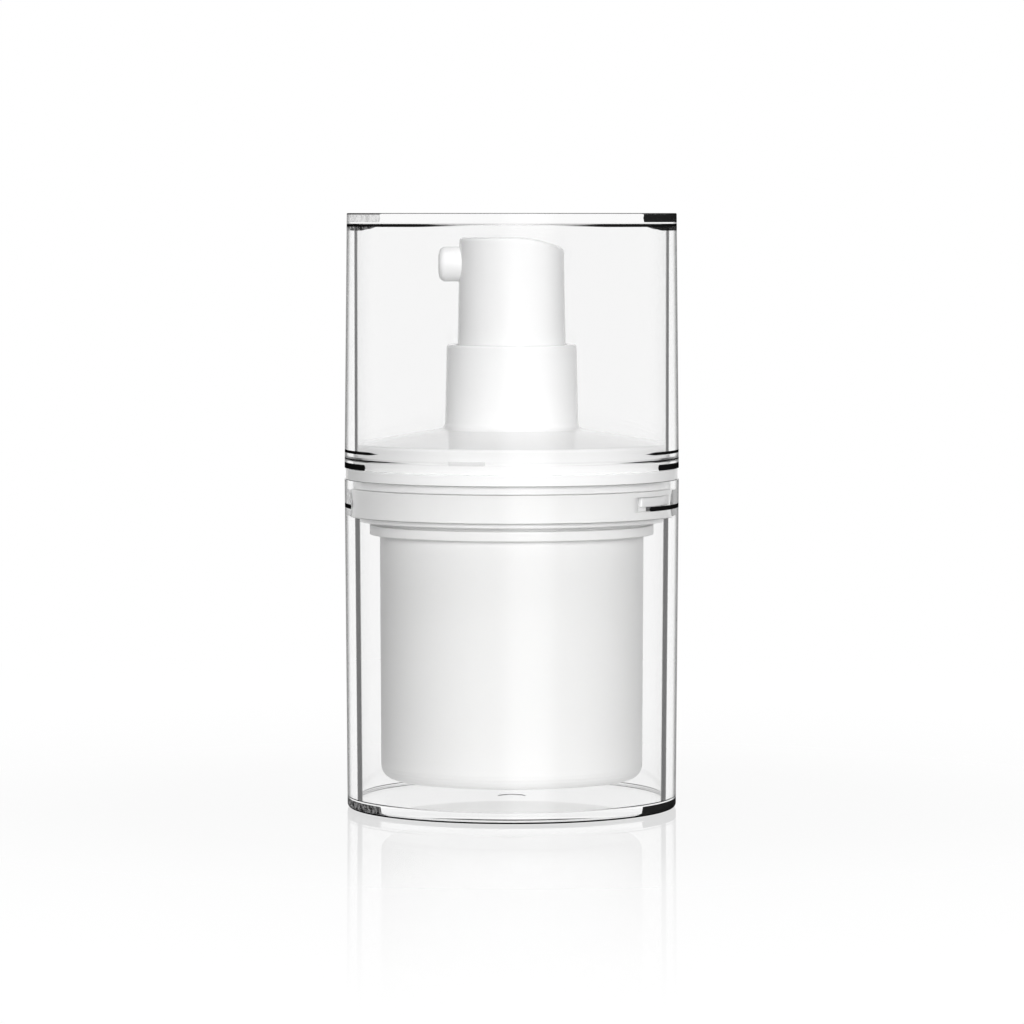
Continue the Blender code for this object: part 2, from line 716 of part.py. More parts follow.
def make_pump_housing(collection, carrier):
    """Barrel with a top flange, a pedestal inside the spring, and a seat for the inlet ball."""
    spout = INLET_RADIUS + HOUSING_FLOOR
    profile = [
        (barrel_bore, housing_top),
        (hub_radius, housing_top),
        (hub_radius, housing_flange_low),
        (barrel_radius, housing_flange_low),
        (barrel_radius, housing_low + HOUSING_CHAMFER),
        (barrel_radius - HOUSING_CHAMFER, housing_low),
        (pedestal_radius, housing_low),
        (spout, inlet_low),
        (INLET_RADIUS, inlet_low),
        (INLET_RADIUS, inlet_top),
        (chamber_radius, seat_top),
        (chamber_radius, ridge_z - BALL_CHAMBER_GAP),
        (ridge_radius, ridge_z),
        (ridge_radius, pedestal_top),
        (pedestal_radius, pedestal_top),
        (pedestal_radius, spring_seat),
        (barrel_bore, spring_seat),
    ]
    return finish(turned("pump_housing", profile, SIDES_SMALL, collection), NATURAL, carrier)


def make_housing_gasket(collection, carrier):
    """Flat ring between the barrel's flange and the hub."""
    profile = [
        (hub_bore, housing_gasket_low + HOUSING_GASKET),
        (hub_radius - SLIDE_GAP, housing_gasket_low + HOUSING_GASKET),
        (hub_radius - SLIDE_GAP, housing_gasket_low),
        (hub_bore, housing_gasket_low),
    ]
    return finish(turned("housing_gasket", profile, SIDES_SMALL, collection), ELASTOMER, carrier)


def make_chaplet(collection, carrier):
    """Cap of the pump: a guide for the stem, and a skirt snapped over the hub."""
    guide = guide_bore + GUIDE_WALL
    profile = [
        (guide_bore, guide_top),
        (guide, guide_top),
        (guide, chaplet_top),
        (chaplet_radius, chaplet_top),
        (chaplet_radius, hub_top - CHAPLET_OVERLAP),
        (chaplet_bore, hub_top - CHAPLET_OVERLAP),
        (chaplet_bore, chaplet_low),
        (guide_bore, chaplet_low),
    ]
    return finish(turned("chaplet", profile, SIDES_SMALL, collection), WHITE_SATIN, carrier)


def make_stem_seal(collection, carrier):
    """Wiper ring round the stem, held in the top of the barrel."""
    middle = (guide_bore + piston_radius) / 2
    profile = [
        (guide_bore, stem_seal_top),
        (piston_radius, stem_seal_top),
        (piston_radius, stem_seal_low),
        (middle, stem_seal_low + STEM_SEAL_NOTCH),
        (guide_bore, stem_seal_low),
    ]
    return finish(turned("stem_seal", profile, SIDES_SMALL, collection), ELASTOMER, carrier)


def make_pump_stem(collection, carrier):
    """Tube from the piston up into the actuator, with a shoulder that stops it at the top."""
    shoulder = STEM_RADIUS + STEM_SHOULDER_REACH
    profile = [
        (STEM_BORE, stem_top),
        (STEM_RADIUS, stem_top),
        (STEM_RADIUS, shoulder_top),
        (shoulder, shoulder_top),
        (shoulder, shoulder_low),
        (STEM_RADIUS, shoulder_low),
        (STEM_RADIUS, stem_low),
        (STEM_BORE, stem_low),
    ]
    return finish(turned("pump_stem", profile, SIDES_SMALL, collection), WHITE_SATIN, carrier)


def make_pump_piston(collection, carrier):
    """Sleeve piston with a lip at each end."""
    waist = piston_radius - PISTON_WAIST
    profile = [
        (guide_bore, piston_top),
        (piston_radius, piston_top),
        (piston_radius, piston_top - PISTON_LIP),
        (waist, piston_top - 2 * PISTON_LIP),
        (waist, piston_low + 2 * PISTON_LIP),
        (piston_radius, piston_low + PISTON_LIP),
        (piston_radius, piston_low),
        (guide_bore, piston_low),
    ]
    return finish(turned("pump_piston", profile, SIDES_SMALL, collection), NATURAL, carrier)


def make_piston_rod(collection, carrier):
    """Rod in the stem's bore, with a flange that carries the piston and takes the spring."""
    rod_top = rod_flange_top + ROD_LENGTH
    flange = barrel_bore - ROD_FLANGE_GAP
    profile = [
        (0.0, rod_top),
        (ROD_RADIUS - ROD_CHAMFER, rod_top),
        (ROD_RADIUS, rod_top - ROD_CHAMFER),
        (ROD_RADIUS, rod_flange_top),
        (flange, rod_flange_top),
        (flange, rod_flange_low),
        (0.0, rod_flange_low),
    ]
    return finish(turned("piston_rod", profile, SIDES_SMALL, collection), WHITE_SATIN, carrier)


def make_return_spring(collection, carrier):
    """Compression spring with a closed turn at each end, from its seat to the rod's flange."""
    coil_radius = (pedestal_radius + barrel_bore) / 2
    low = spring_seat + SEAT_GAP + SPRING_WIRE / 2
    high = rod_flange_low - SEAT_GAP - SPRING_WIRE / 2
    closed_pitch = SPRING_WIRE + SEAT_GAP
    open_turns = SPRING_TURNS - 2 * SPRING_CLOSED_TURNS
    open_pitch = (high - low - 2 * SPRING_CLOSED_TURNS * closed_pitch) / open_turns
    curve = bpy.data.curves.new("return_spring", "CURVE")
    curve.dimensions = "3D"
    curve.bevel_depth = SPRING_WIRE / 2 * MM
    curve.bevel_resolution = 1
    curve.use_fill_caps = True
    spline = curve.splines.new("POLY")
    count = SPRING_TURNS * SPRING_POINTS
    spline.points.add(count)
    for index in range(count + 1):
        turn = index / SPRING_POINTS
        low_turns = min(turn, SPRING_CLOSED_TURNS)
        high_turns = max(turn - SPRING_TURNS + SPRING_CLOSED_TURNS, 0.0)
        middle_turns = turn - low_turns - high_turns
        height = low + closed_pitch * (low_turns + high_turns) + open_pitch * middle_turns
        angle = 2 * math.pi * turn
        place = Vector((coil_radius * math.cos(angle), coil_radius * math.sin(angle), height))
        spline.points[index].co = (*(place * MM), 1.0)
    wire = bpy.data.objects.new("return_spring_curve", curve)
    collection.objects.link(wire)
    graph = bpy.context.evaluated_depsgraph_get()
    mesh = bpy.data.meshes.new_from_object(wire.evaluated_get(graph))
    bpy.data.objects.remove(wire, do_unlink=True)
    bm = bmesh.new()
    bm.from_mesh(mesh)
    bmesh.ops.remove_doubles(bm, verts=bm.verts, dist=0.00001)
    bmesh.ops.recalc_face_normals(bm, faces=bm.faces)
    bm.to_mesh(mesh)
    bm.free()
    spring = bpy.data.objects.new("return_spring", mesh)
    collection.objects.link(spring)
    return finish(spring, STEEL, carrier)


def make_inlet_ball(collection, carrier):
    """Steel ball on the seat in the pump's foot."""
    bm = bmesh.new()
    bmesh.ops.create_uvsphere(bm, u_segments=16, v_segments=10, radius=BALL_RADIUS * MM)
    mesh = bpy.data.meshes.new("inlet_ball")
    bm.to_mesh(mesh)
    bm.free()
    ball = bpy.data.objects.new("inlet_ball", mesh)
    ball.location = (0.0, 0.0, ball_z * MM)
    collection.objects.link(ball)
    return finish(ball, STEEL, carrier)


def aim_at_nozzle(obj):
    """Lay a piece that was turned about Z along the nozzle's axis, towards -X."""
    obj.location = (0.0, 0.0, nozzle_z * MM)
    obj.rotation_euler = (0.0, -math.pi / 2, 0.0)
    return obj


def slope_top(mesh):
    """Let the actuator's top fall away on the side behind the nozzle, along a circle."""
    radius = ACTUATOR_RADIUS - ACTUATOR_DRAFT
    bend = (radius ** 2 + SLOPE_DROP ** 2) / (2 * SLOPE_DROP) * MM
    for vertex in mesh.vertices:
        if vertex.co.z > (actuator_top - 2 * ACTUATOR_EDGE) * MM and vertex.co.x > 0:
            vertex.co.z -= bend - math.sqrt(bend ** 2 - vertex.co.x ** 2)


def make_actuator(collection, tools, carrier):
    """Hollow button with a socket for the stem and a spout that points sideways."""
    top_radius = ACTUATOR_RADIUS - ACTUATOR_DRAFT
    skirt_inner = ACTUATOR_RADIUS - ACTUATOR_WALL
    flat = top_radius - ACTUATOR_EDGE
    profile = [
        *[(flat * ring / TOP_RINGS, actuator_top) for ring in range(TOP_RINGS)],
        *arc((flat, actuator_top - ACTUATOR_EDGE), ACTUATOR_EDGE, 90, 0, ROUND_STEPS),
        (ACTUATOR_RADIUS, neck_top),
        (ACTUATOR_RADIUS, actuator_low),
        (skirt_inner, actuator_low),
        (skirt_inner, cavity_top),
        (column_radius, cavity_top),
        (column_radius, column_low),
        (socket_radius, column_low),
        (socket_radius, socket_roof),
        (CHANNEL_RADIUS, socket_roof),
        (CHANNEL_RADIUS, nozzle_z + CHANNEL_RADIUS),
        (0.0, nozzle_z + CHANNEL_RADIUS),
    ]
    actuator = turned("actuator", profile, SIDES_HEAD, collection)
    settle(actuator)
    slope_top(actuator.data)
    tip_round = (NOZZLE_RADIUS - NOZZLE_ROUND, NOZZLE_REACH - NOZZLE_DOME - NOZZLE_ROUND)
    spout_profile = [
        (0.0, NOZZLE_REACH),
        *arc(tip_round, NOZZLE_ROUND, 90, 0, FOOT_STEPS),
        (NOZZLE_RADIUS, SPOUT_ROOT),
        (0.0, SPOUT_ROOT),
    ]
    bore_profile = [
        (0.0, pocket_start + CUT_PAST),
        (SPOUT_BORE, pocket_start + CUT_PAST),
        (SPOUT_BORE, -CUT_PAST),
        (0.0, -CUT_PAST),
    ]
    pocket_profile = [
        (0.0, NOZZLE_REACH + CUT_PAST),
        (POCKET_RADIUS, NOZZLE_REACH + CUT_PAST),
        (POCKET_RADIUS, pocket_start),
        (0.0, pocket_start),
    ]
    spout = aim_at_nozzle(turned("spout_shape", spout_profile, SIDES_SMALL, tools))
    bore_tool = aim_at_nozzle(turned("spout_bore", bore_profile, SIDES_NOZZLE, tools))
    pocket_tool = aim_at_nozzle(turned("spout_pocket", pocket_profile, SIDES_NOZZLE, tools))
    combine(actuator, spout, "UNION")
    combine(actuator, bore_tool, "DIFFERENCE")
    combine(actuator, pocket_tool, "DIFFERENCE")
    return finish(actuator, WHITE_GLOSS, carrier)


def make_nozzle_valve(collection, carrier):
    """Slit disc at the bottom of the spout's pocket."""
    outer = POCKET_RADIUS - FIT_GAP
    low = pocket_start + FIT_GAP
    profile = [
        (VALVE_SLIT, low + VALVE_THICKNESS),
        (outer, low + VALVE_THICKNESS),
        (outer, low),
        (VALVE_SLIT, low),
    ]
    valve = aim_at_nozzle(turned("nozzle_valve", profile, SIDES_NOZZLE, collection))
    return finish(valve, ELASTOMER, carrier)


def make_nozzle_insert(collection, carrier):
    """Orifice piece pressed into the spout, flush with its tip."""
    outer = POCKET_RADIUS - FIT_GAP
    low = pocket_start + 2 * FIT_GAP + VALVE_THICKNESS
    high = NOZZLE_REACH - INSERT_INSET
    profile = [
        (ORIFICE_RADIUS + ORIFICE_FLARE, high),
        (outer, high),
        (outer, low),
        (ORIFICE_RADIUS, low),
        (ORIFICE_RADIUS, high - ORIFICE_FLARE),
    ]
    insert = aim_at_nozzle(turned("nozzle_insert", profile, SIDES_NOZZLE, collection))
    return finish(insert, WHITE_SATIN, carrier)


def main():
    """Build the bottle, body by body."""
    clear_scene()
    parts = new_collection("pump_bottle")
    tools = new_collection("cutters")
    base = joint_empty("base", 0.0, None, parts)
    refill = joint_empty("refill_turn", flange_low, base, parts)
    cap = joint_empty("cap_lift", cap_mouth, refill, parts)
    stem = joint_empty("pump_press", guide_top, refill, parts)
    piston = joint_empty("piston_slip", piston_low, stem, parts)
    head = joint_empty("head_turn", actuator_low, stem, parts)
    follower = joint_empty("follower_rise", follower_low, refill, parts)
    ball = joint_empty("ball_lift", ball_z, refill, parts)

    make_base_vessel(parts, base)
    make_lock_ring(parts, tools, base)
    make_over_cap(parts, cap)
    make_shoulder_collar(parts, tools, refill)
    make_cartridge(parts, refill)
    make_pump_deck(parts, refill)
    make_cartridge_gasket(parts, refill)
    make_pump_housing(parts, refill)
    make_housing_gasket(parts, refill)
    make_chaplet(parts, refill)
    make_stem_seal(parts, refill)
    make_return_spring(parts, refill)
    make_pump_stem(parts, stem)
    make_piston_rod(parts, stem)
    make_pump_piston(parts, piston)
    make_actuator(parts, tools, head)
    make_nozzle_valve(parts, head)
    make_nozzle_insert(parts, head)
    make_follower(parts, follower)
    make_inlet_ball(parts, ball)


main()
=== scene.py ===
# %% [markdown]
# # A refillable airless pump bottle
# The bottle is two thick clear shells round a white refill. The over-cap stands on the refill's
# flange, the outer base holds the refill by a bayonet ring, and the pump sits in a white neck.
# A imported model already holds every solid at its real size. This script loads it, makes finer
# turned versions of the pieces that show, and gives every piece its finish.

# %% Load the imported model
import json
import math

import bmesh
import bpy
from mathutils import Matrix, Vector


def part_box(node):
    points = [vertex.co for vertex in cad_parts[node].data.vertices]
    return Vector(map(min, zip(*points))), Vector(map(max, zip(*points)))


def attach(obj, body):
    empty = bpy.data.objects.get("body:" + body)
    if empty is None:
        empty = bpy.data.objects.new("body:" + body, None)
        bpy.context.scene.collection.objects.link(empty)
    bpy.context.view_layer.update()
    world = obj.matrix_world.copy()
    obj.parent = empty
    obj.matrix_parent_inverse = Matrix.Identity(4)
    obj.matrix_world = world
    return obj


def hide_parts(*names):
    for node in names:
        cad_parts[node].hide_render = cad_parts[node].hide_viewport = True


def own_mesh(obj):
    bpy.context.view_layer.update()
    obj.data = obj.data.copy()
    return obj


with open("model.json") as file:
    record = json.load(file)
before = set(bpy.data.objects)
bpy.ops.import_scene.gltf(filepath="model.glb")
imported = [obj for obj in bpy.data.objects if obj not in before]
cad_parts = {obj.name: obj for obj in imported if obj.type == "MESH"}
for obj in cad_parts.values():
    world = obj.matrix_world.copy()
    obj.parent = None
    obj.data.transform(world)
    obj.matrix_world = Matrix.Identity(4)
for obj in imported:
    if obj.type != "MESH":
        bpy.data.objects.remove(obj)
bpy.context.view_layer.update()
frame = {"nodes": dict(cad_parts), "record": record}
nodes = frame["nodes"]

# %% [markdown]
# ## Sizes
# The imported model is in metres, but a bottle is drawn in millimetres, so one factor turns one
# into the other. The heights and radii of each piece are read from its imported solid, so the fine
# pieces can't drift away from it.

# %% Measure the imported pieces
MM = 0.001


def heights(node):
    """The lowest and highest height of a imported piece, in millimetres."""
    low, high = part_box(node)
    return low.z / MM, high.z / MM


def reach(node):
    """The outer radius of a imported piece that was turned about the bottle's axis."""
    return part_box(node)[1].x / MM


outer_radius = reach("base_vessel")
rim = heights("base_vessel")[1]
cap_mouth, cap_top = heights("over_cap")
ring_low, ring_top = heights("lock_ring")
skirt_low, neck_top = heights("shoulder_collar")
cartridge_low, cartridge_top = heights("cartridge")
button_low, button_top = heights("actuator")
print("outer radius", round(outer_radius, 2), "rim", round(rim, 2), "cap", round(cap_top, 2))

# %% [markdown]
# ## One way to make every round piece
# Nearly every piece here is turned: an outline of radius and height, swept round the axis. The
# outline starts as a few points, the bevel operator rounds its corners, and the spin operator
# sweeps it. Rounding the flat outline first is much cheaper than bevelling the finished surface,
# and on clear plastic the rounding matters, because every corner bends the light. A tall smooth
# face next to a rounded corner would borrow some of the corner's tilt and bend light like a lens,
# so each long edge is split close to both its ends, which keeps the tilt in the corner.

# %% Turn an outline round an axis
SIDES = 192
CORNER_STEPS = 6
SMOOTH_ANGLE = math.radians(32)
END_SPLIT = 0.02        # how close to its ends a long edge is split, in millimetres
LONG_EDGE = 0.3
MERGE_WITHIN = 0.0005   # vertices closer than this become one
THIN_EDGE = 0.0002      # faces thinner than this are dissolved


def outline(points, closed):
    """A wire of (radius, height, rounding) points in millimetres, with its corners rounded."""
    bm = bmesh.new()
    verts = [bm.verts.new((radius * MM, 0.0, height * MM)) for radius, height, _ in points]
    pairs = list(zip(verts, verts[1:]))
    if closed:
        pairs.append((verts[-1], verts[0]))
    for pair in pairs:
        bm.edges.new(pair)
    for vert, (_, _, rounding) in zip(verts, points):
        if rounding:
            bmesh.ops.bevel(
                bm, geom=[vert], offset=rounding * MM, offset_type="OFFSET", affect="VERTICES",
                segments=CORNER_STEPS, profile=0.5, material=-1,
            )
    for edge in list(bm.edges):
        length = edge.calc_length() / MM
        if length > LONG_EDGE:
            first, second = edge.verts
            middle_edge, _ = bmesh.utils.edge_split(edge, first, END_SPLIT / length)
            rest = middle_edge if second in middle_edge.verts else edge
            bmesh.utils.edge_split(rest, second, END_SPLIT / length)
    return bm


def turn(points, closed=False, sides=SIDES):
    """Spin an outline all the way round Z."""
    bm = outline(points, closed)
    bmesh.ops.spin(
        bm, geom=[*bm.verts, *bm.edges], cent=(0, 0, 0), axis=(0, 0, 1),
        angle=math.tau, steps=sides, use_merge=True,
    )
    clean(bm)
    return bm


def clean(bm):
    """Merge what meets, and point every face outwards."""
    bmesh.ops.remove_doubles(bm, verts=bm.verts, dist=MERGE_WITHIN * MM)
    bmesh.ops.dissolve_degenerate(bm, edges=bm.edges, dist=THIN_EDGE * MM)
    bmesh.ops.recalc_face_normals(bm, faces=bm.faces)


def sector(radii, levels, start, span, rounding, steps=24):
    """A bar bent round the axis, from an angle in degrees through a span, with soft edges."""
    bm = bmesh.new()
    corners = [(radii[0], levels[0]), (radii[1], levels[0]), (radii[1], levels[1]), (radii[0], levels[1])]
    turned = Matrix.Rotation(math.radians(start), 3, "Z")
    face = bm.faces.new([bm.verts.new(turned @ Vector((r, 0.0, z)) * MM) for r, z in corners])
    bmesh.ops.spin(
        bm, geom=[face, *face.edges, *face.verts], cent=(0, 0, 0), axis=(0, 0, 1),
        angle=math.radians(span), steps=steps, use_merge=False,
    )
    clean(bm)
    if rounding:
        sharp = [edge for edge in bm.edges if edge.calc_face_angle(0.0) > math.radians(60)]
        bmesh.ops.bevel(
            bm, geom=sharp, offset=rounding * MM, offset_type="OFFSET", affect="EDGES",
            segments=3, profile=0.5, material=-1, clamp_overlap=True,
        )
    return bm


def add_to(bm, other):
    """Put a second mesh into the first one."""
    mesh = bpy.data.meshes.new("part")
    other.to_mesh(mesh)
    other.free()
    bm.from_mesh(mesh)
    bpy.data.meshes.remove(mesh)


def finished(name, bm, body, material, node):
    """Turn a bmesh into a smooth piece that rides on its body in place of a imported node."""
    mesh = bpy.data.meshes.new(name)
    bm.to_mesh(mesh)
    bm.free()
    mesh.shade_smooth()
    mesh.set_sharp_from_angle(angle=SMOOTH_ANGLE)
    mesh.materials.append(material)
    piece = bpy.data.objects.new(name, mesh)
    bpy.context.scene.collection.objects.link(piece)
    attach(piece, body)
    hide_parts(node)
    print(name, "stands for", node, "with", len(mesh.polygons), "faces")
    return piece


# %% [markdown]
# ## Moulded plastic
# A moulded part is never one flat colour. Its shade drifts a little with the wall behind it, and
# the mould's polish leaves patches that are a touch rougher. Both follow the piece itself, so the
# pattern reads Object coordinates. Six of the finishes here need it, so it is a node group with
# its own named values, which puts out a colour, a roughness and a normal.

# %% Short ways to add nodes
def node_maker(tree):
    """Two short ways to add nodes: a Math node, and a smooth step from one number to another."""
    def maths(operation, *values):
        node = tree.nodes.new("ShaderNodeMath")
        node.operation = operation
        return wire(node, values)

    def ramp(value, low, high, start=0.0, end=1.0):
        node = tree.nodes.new("ShaderNodeMapRange")
        node.interpolation_type = "SMOOTHSTEP"
        return wire(node, (value, low, high, start, end))

    def wire(node, values):
        for socket, value in zip(node.inputs, values):
            if isinstance(value, bpy.types.NodeSocket):
                tree.links.new(value, socket)
            else:
                socket.default_value = value
        return node.outputs[0]

    return maths, ramp


# %% A node group for moulded plastic
PATTERN_SCALE = 60.0    # the drift's patches are about 16 mm across


def build_moulding():
    """Colour drift, roughness patches and a fine grain, all from noise on the piece."""
    group = bpy.data.node_groups.new("moulding", "ShaderNodeTree")
    for name, kind in (
        ("Colour", "NodeSocketColor"), ("Drift", "NodeSocketFloat"), ("Roughness", "NodeSocketFloat"),
        ("Patches", "NodeSocketFloat"), ("Grain Scale", "NodeSocketFloat"),
        ("Grain Height", "NodeSocketFloat"),
    ):
        group.interface.new_socket(name, in_out="INPUT", socket_type=kind)
    group.interface.new_socket("Colour", in_out="OUTPUT", socket_type="NodeSocketColor")
    group.interface.new_socket("Roughness", in_out="OUTPUT", socket_type="NodeSocketFloat")
    group.interface.new_socket("Normal", in_out="OUTPUT", socket_type="NodeSocketVector")
    add, link = group.nodes.new, group.links.new
    maths, _ = node_maker(group)
    given, out = add("NodeGroupInput"), add("NodeGroupOutput")
    place = add("ShaderNodeTexCoord")

    cloudy = add("ShaderNodeTexNoise")
    cloudy.inputs["Scale"].default_value = PATTERN_SCALE
    cloudy.inputs["Detail"].default_value = 3.0
    link(place.outputs["Object"], cloudy.inputs["Vector"])

    darker = maths("MULTIPLY", cloudy.outputs["Fac"], given.outputs["Drift"])
    shade = add("ShaderNodeMix")
    shade.data_type = "RGBA"
    shade.blend_type = "MULTIPLY"
    shade.inputs["Factor"].default_value = 1.0
    link(given.outputs["Colour"], shade.inputs["A"])
    link(maths("SUBTRACT", 1.0, darker), shade.inputs["B"])
    link(shade.outputs["Result"], out.inputs["Colour"])

    rough = maths(
        "MULTIPLY_ADD", cloudy.outputs["Fac"], given.outputs["Patches"], given.outputs["Roughness"])
    link(rough, out.inputs["Roughness"])

    grain = add("ShaderNodeTexNoise")
    grain.inputs["Detail"].default_value = 2.0
    link(place.outputs["Object"], grain.inputs["Vector"])
    link(given.outputs["Grain Scale"], grain.inputs["Scale"])
    relief = add("ShaderNodeBump")
    relief.inputs["Strength"].default_value = 1.0
    link(given.outputs["Grain Height"], relief.inputs["Distance"])
    link(grain.outputs["Fac"], relief.inputs["Height"])
    link(relief.outputs["Normal"], out.inputs["Normal"])
    return group


moulding = build_moulding()
taken = [socket.name for socket in moulding.interface.items_tree if socket.in_out == "INPUT"]
print("moulding takes", taken)


# %% Finishes made with it
PLASTIC_IOR = 1.49
POLISHED_GRAIN = 0.0003
SATIN_GRAIN = 0.004


def plastic(
    name, colour, roughness, drift=0.03, patches=0.05, grain_scale=2500.0, grain_height=0.002, shine=0.5,
):
    """A moulded plastic. Colour is linear, and the grain's height is in millimetres."""
    material = bpy.data.materials.new(name)
    material.use_nodes = True
    tree = material.node_tree
    shader = tree.nodes["Principled BSDF"]
    mould = tree.nodes.new("ShaderNodeGroup")
    mould.node_tree = moulding
    for socket, value in (
        ("Colour", (*colour, 1.0)), ("Drift", drift), ("Roughness", roughness), ("Patches", patches),
        ("Grain Scale", grain_scale), ("Grain Height", grain_height * MM),
    ):
        mould.inputs[socket].default_value = value
    tree.links.new(mould.outputs["Colour"], shader.inputs["Base Color"])
    tree.links.new(mould.outputs["Roughness"], shader.inputs["Roughness"])
    tree.links.new(mould.outputs["Normal"], shader.inputs["Normal"])
    shader.inputs["IOR"].default_value = PLASTIC_IOR
    shader.inputs["Specular IOR Level"].default_value = shine
    return material


white_gloss = plastic("gloss_white", (0.87, 0.87, 0.87), 0.08, grain_height=POLISHED_GRAIN, shine=0.25)
white_satin = plastic("satin_white", (0.88, 0.88, 0.875), 0.3, grain_height=SATIN_GRAIN, shine=0.06)
# Painted shade: the snap beads get a grey copy of the white finish, so they look shaded and darker than
# the collar.
bead_painted_shade = plastic("bead_painted_shade", (0.76, 0.76, 0.76), 0.3, shine=0.2)
# Painted shadow: a near-black finish for a thin bar in the gap under each lug, where shade falls.
gap_painted_shadow = plastic("gap_painted_shadow", (0.004, 0.004, 0.004), 0.6, shine=0.0)
natural_plastic = plastic("natural_white", (0.78, 0.79, 0.76), 0.42, drift=0.06)
elastomer = plastic("seal_grey", (0.36, 0.37, 0.38), 0.6, drift=0.1, grain_scale=4000.0)
print("finishes:", [material.name for material in bpy.data.materials])

# %% [markdown]
# ## Spring steel
# The spring and the ball are drawn and ground steel: metallic, with fine lines along one
# direction. A noise squeezed by a Mapping node gives such lines.

# %% Steel
STEEL_DARK = (0.42, 0.42, 0.43, 1.0)
STEEL_BRIGHT = (0.66, 0.66, 0.67, 1.0)
STEEL_LINES = (400.0, 400.0, 6000.0)
STEEL_ROUGHNESS = (0.18, 0.36)


def steel(name):
    """Bright drawn steel."""
    material = bpy.data.materials.new(name)
    material.use_nodes = True
    tree = material.node_tree
    shader = tree.nodes["Principled BSDF"]
    shader.inputs["Metallic"].default_value = 1.0
    place = tree.nodes.new("ShaderNodeTexCoord")
    squeeze = tree.nodes.new("ShaderNodeMapping")
    squeeze.inputs["Scale"].default_value = STEEL_LINES
    lines = tree.nodes.new("ShaderNodeTexNoise")
    lines.inputs["Scale"].default_value = 1.0
    colours = tree.nodes.new("ShaderNodeValToRGB")
    colours.color_ramp.elements[0].color = STEEL_DARK
    colours.color_ramp.elements[1].color = STEEL_BRIGHT
    rough = tree.nodes.new("ShaderNodeMapRange")
    rough.inputs["To Min"].default_value, rough.inputs["To Max"].default_value = STEEL_ROUGHNESS
    tree.links.new(place.outputs["Object"], squeeze.inputs["Vector"])
    tree.links.new(squeeze.outputs["Vector"], lines.inputs["Vector"])
    tree.links.new(lines.outputs["Fac"], colours.inputs["Fac"])
    tree.links.new(lines.outputs["Fac"], rough.inputs["Value"])
    tree.links.new(colours.outputs["Color"], shader.inputs["Base Color"])
    tree.links.new(rough.outputs["Result"], shader.inputs["Roughness"])
    return material


spring_steel = steel("drawn_steel")

# %% [markdown]
# ## Clear acrylic
# Polished acrylic is glass with a lower index, 1.49. What makes it read as thick in a white
# studio is its edges, where the light that reaches the eye comes from the dark parts of the room.
# A bottle that has to look right from every side can't rely on the place of one black card, so
# the darkness is put where such a card would show: on walls that are met at a slant, on rounded
# edges already at a smaller slant, and on light that leaves a wall close to the angle where it
# would be mirrored back. Layer Weight gives the slant, and Backfacing tells air from plastic.
# Thin dark arcs lie at fixed heights, at the seam, the top plate and the foot, and thicken where
# the wall turns away. All of this is a rule of the material and no real reflection.
# Lamps have to reach the white pieces inside, so for shadow rays and for diffuse rays the shell
# is transparent, without the slow search for light through curved walls.

# %% A node group for dark edges
EDGE_SOCKETS = (
    "Slant", "Inside", "Wall From", "Wall To", "Exit From", "Exit To", "Bore", "Round From",
    "Round Growth",
)
WALL_SHARE = 0.62       # how dark a wall gets where it is met at a slant
EXIT_SHARE = 0.94       # how dark the light gets that leaves the bore at a slant
EXIT_RISE = 0.005       # over these slants it turns dark and clear again
EXIT_FALL = 0.003
SOFT_SHARE = 0.1        # a soft shade on the bore, which grows between two slants
SOFT_SLANT = (0.5, 0.85)
ROUND_RISE = 0.06       # over this tilt a rounding turns dark
INSIDE_SLANT = 1.2      # inside the plastic a slant counts more by this
UPRIGHT_TILT = (0.04, 0.12)     # upright walls end between these tilts, and roundings begin
LEVEL_TILT = (0.975, 0.99)      # roundings end between these


def group_with(name, inputs, outputs):
    """An empty node group with float sockets, and its input and output nodes."""
    group = bpy.data.node_groups.new(name, "ShaderNodeTree")
    for socket in inputs:
        group.interface.new_socket(socket, in_out="INPUT", socket_type="NodeSocketFloat")
    for socket in outputs:
        group.interface.new_socket(socket, in_out="OUTPUT", socket_type="NodeSocketFloat")
    return group, group.nodes.new("NodeGroupInput"), group.nodes.new("NodeGroupOutput")


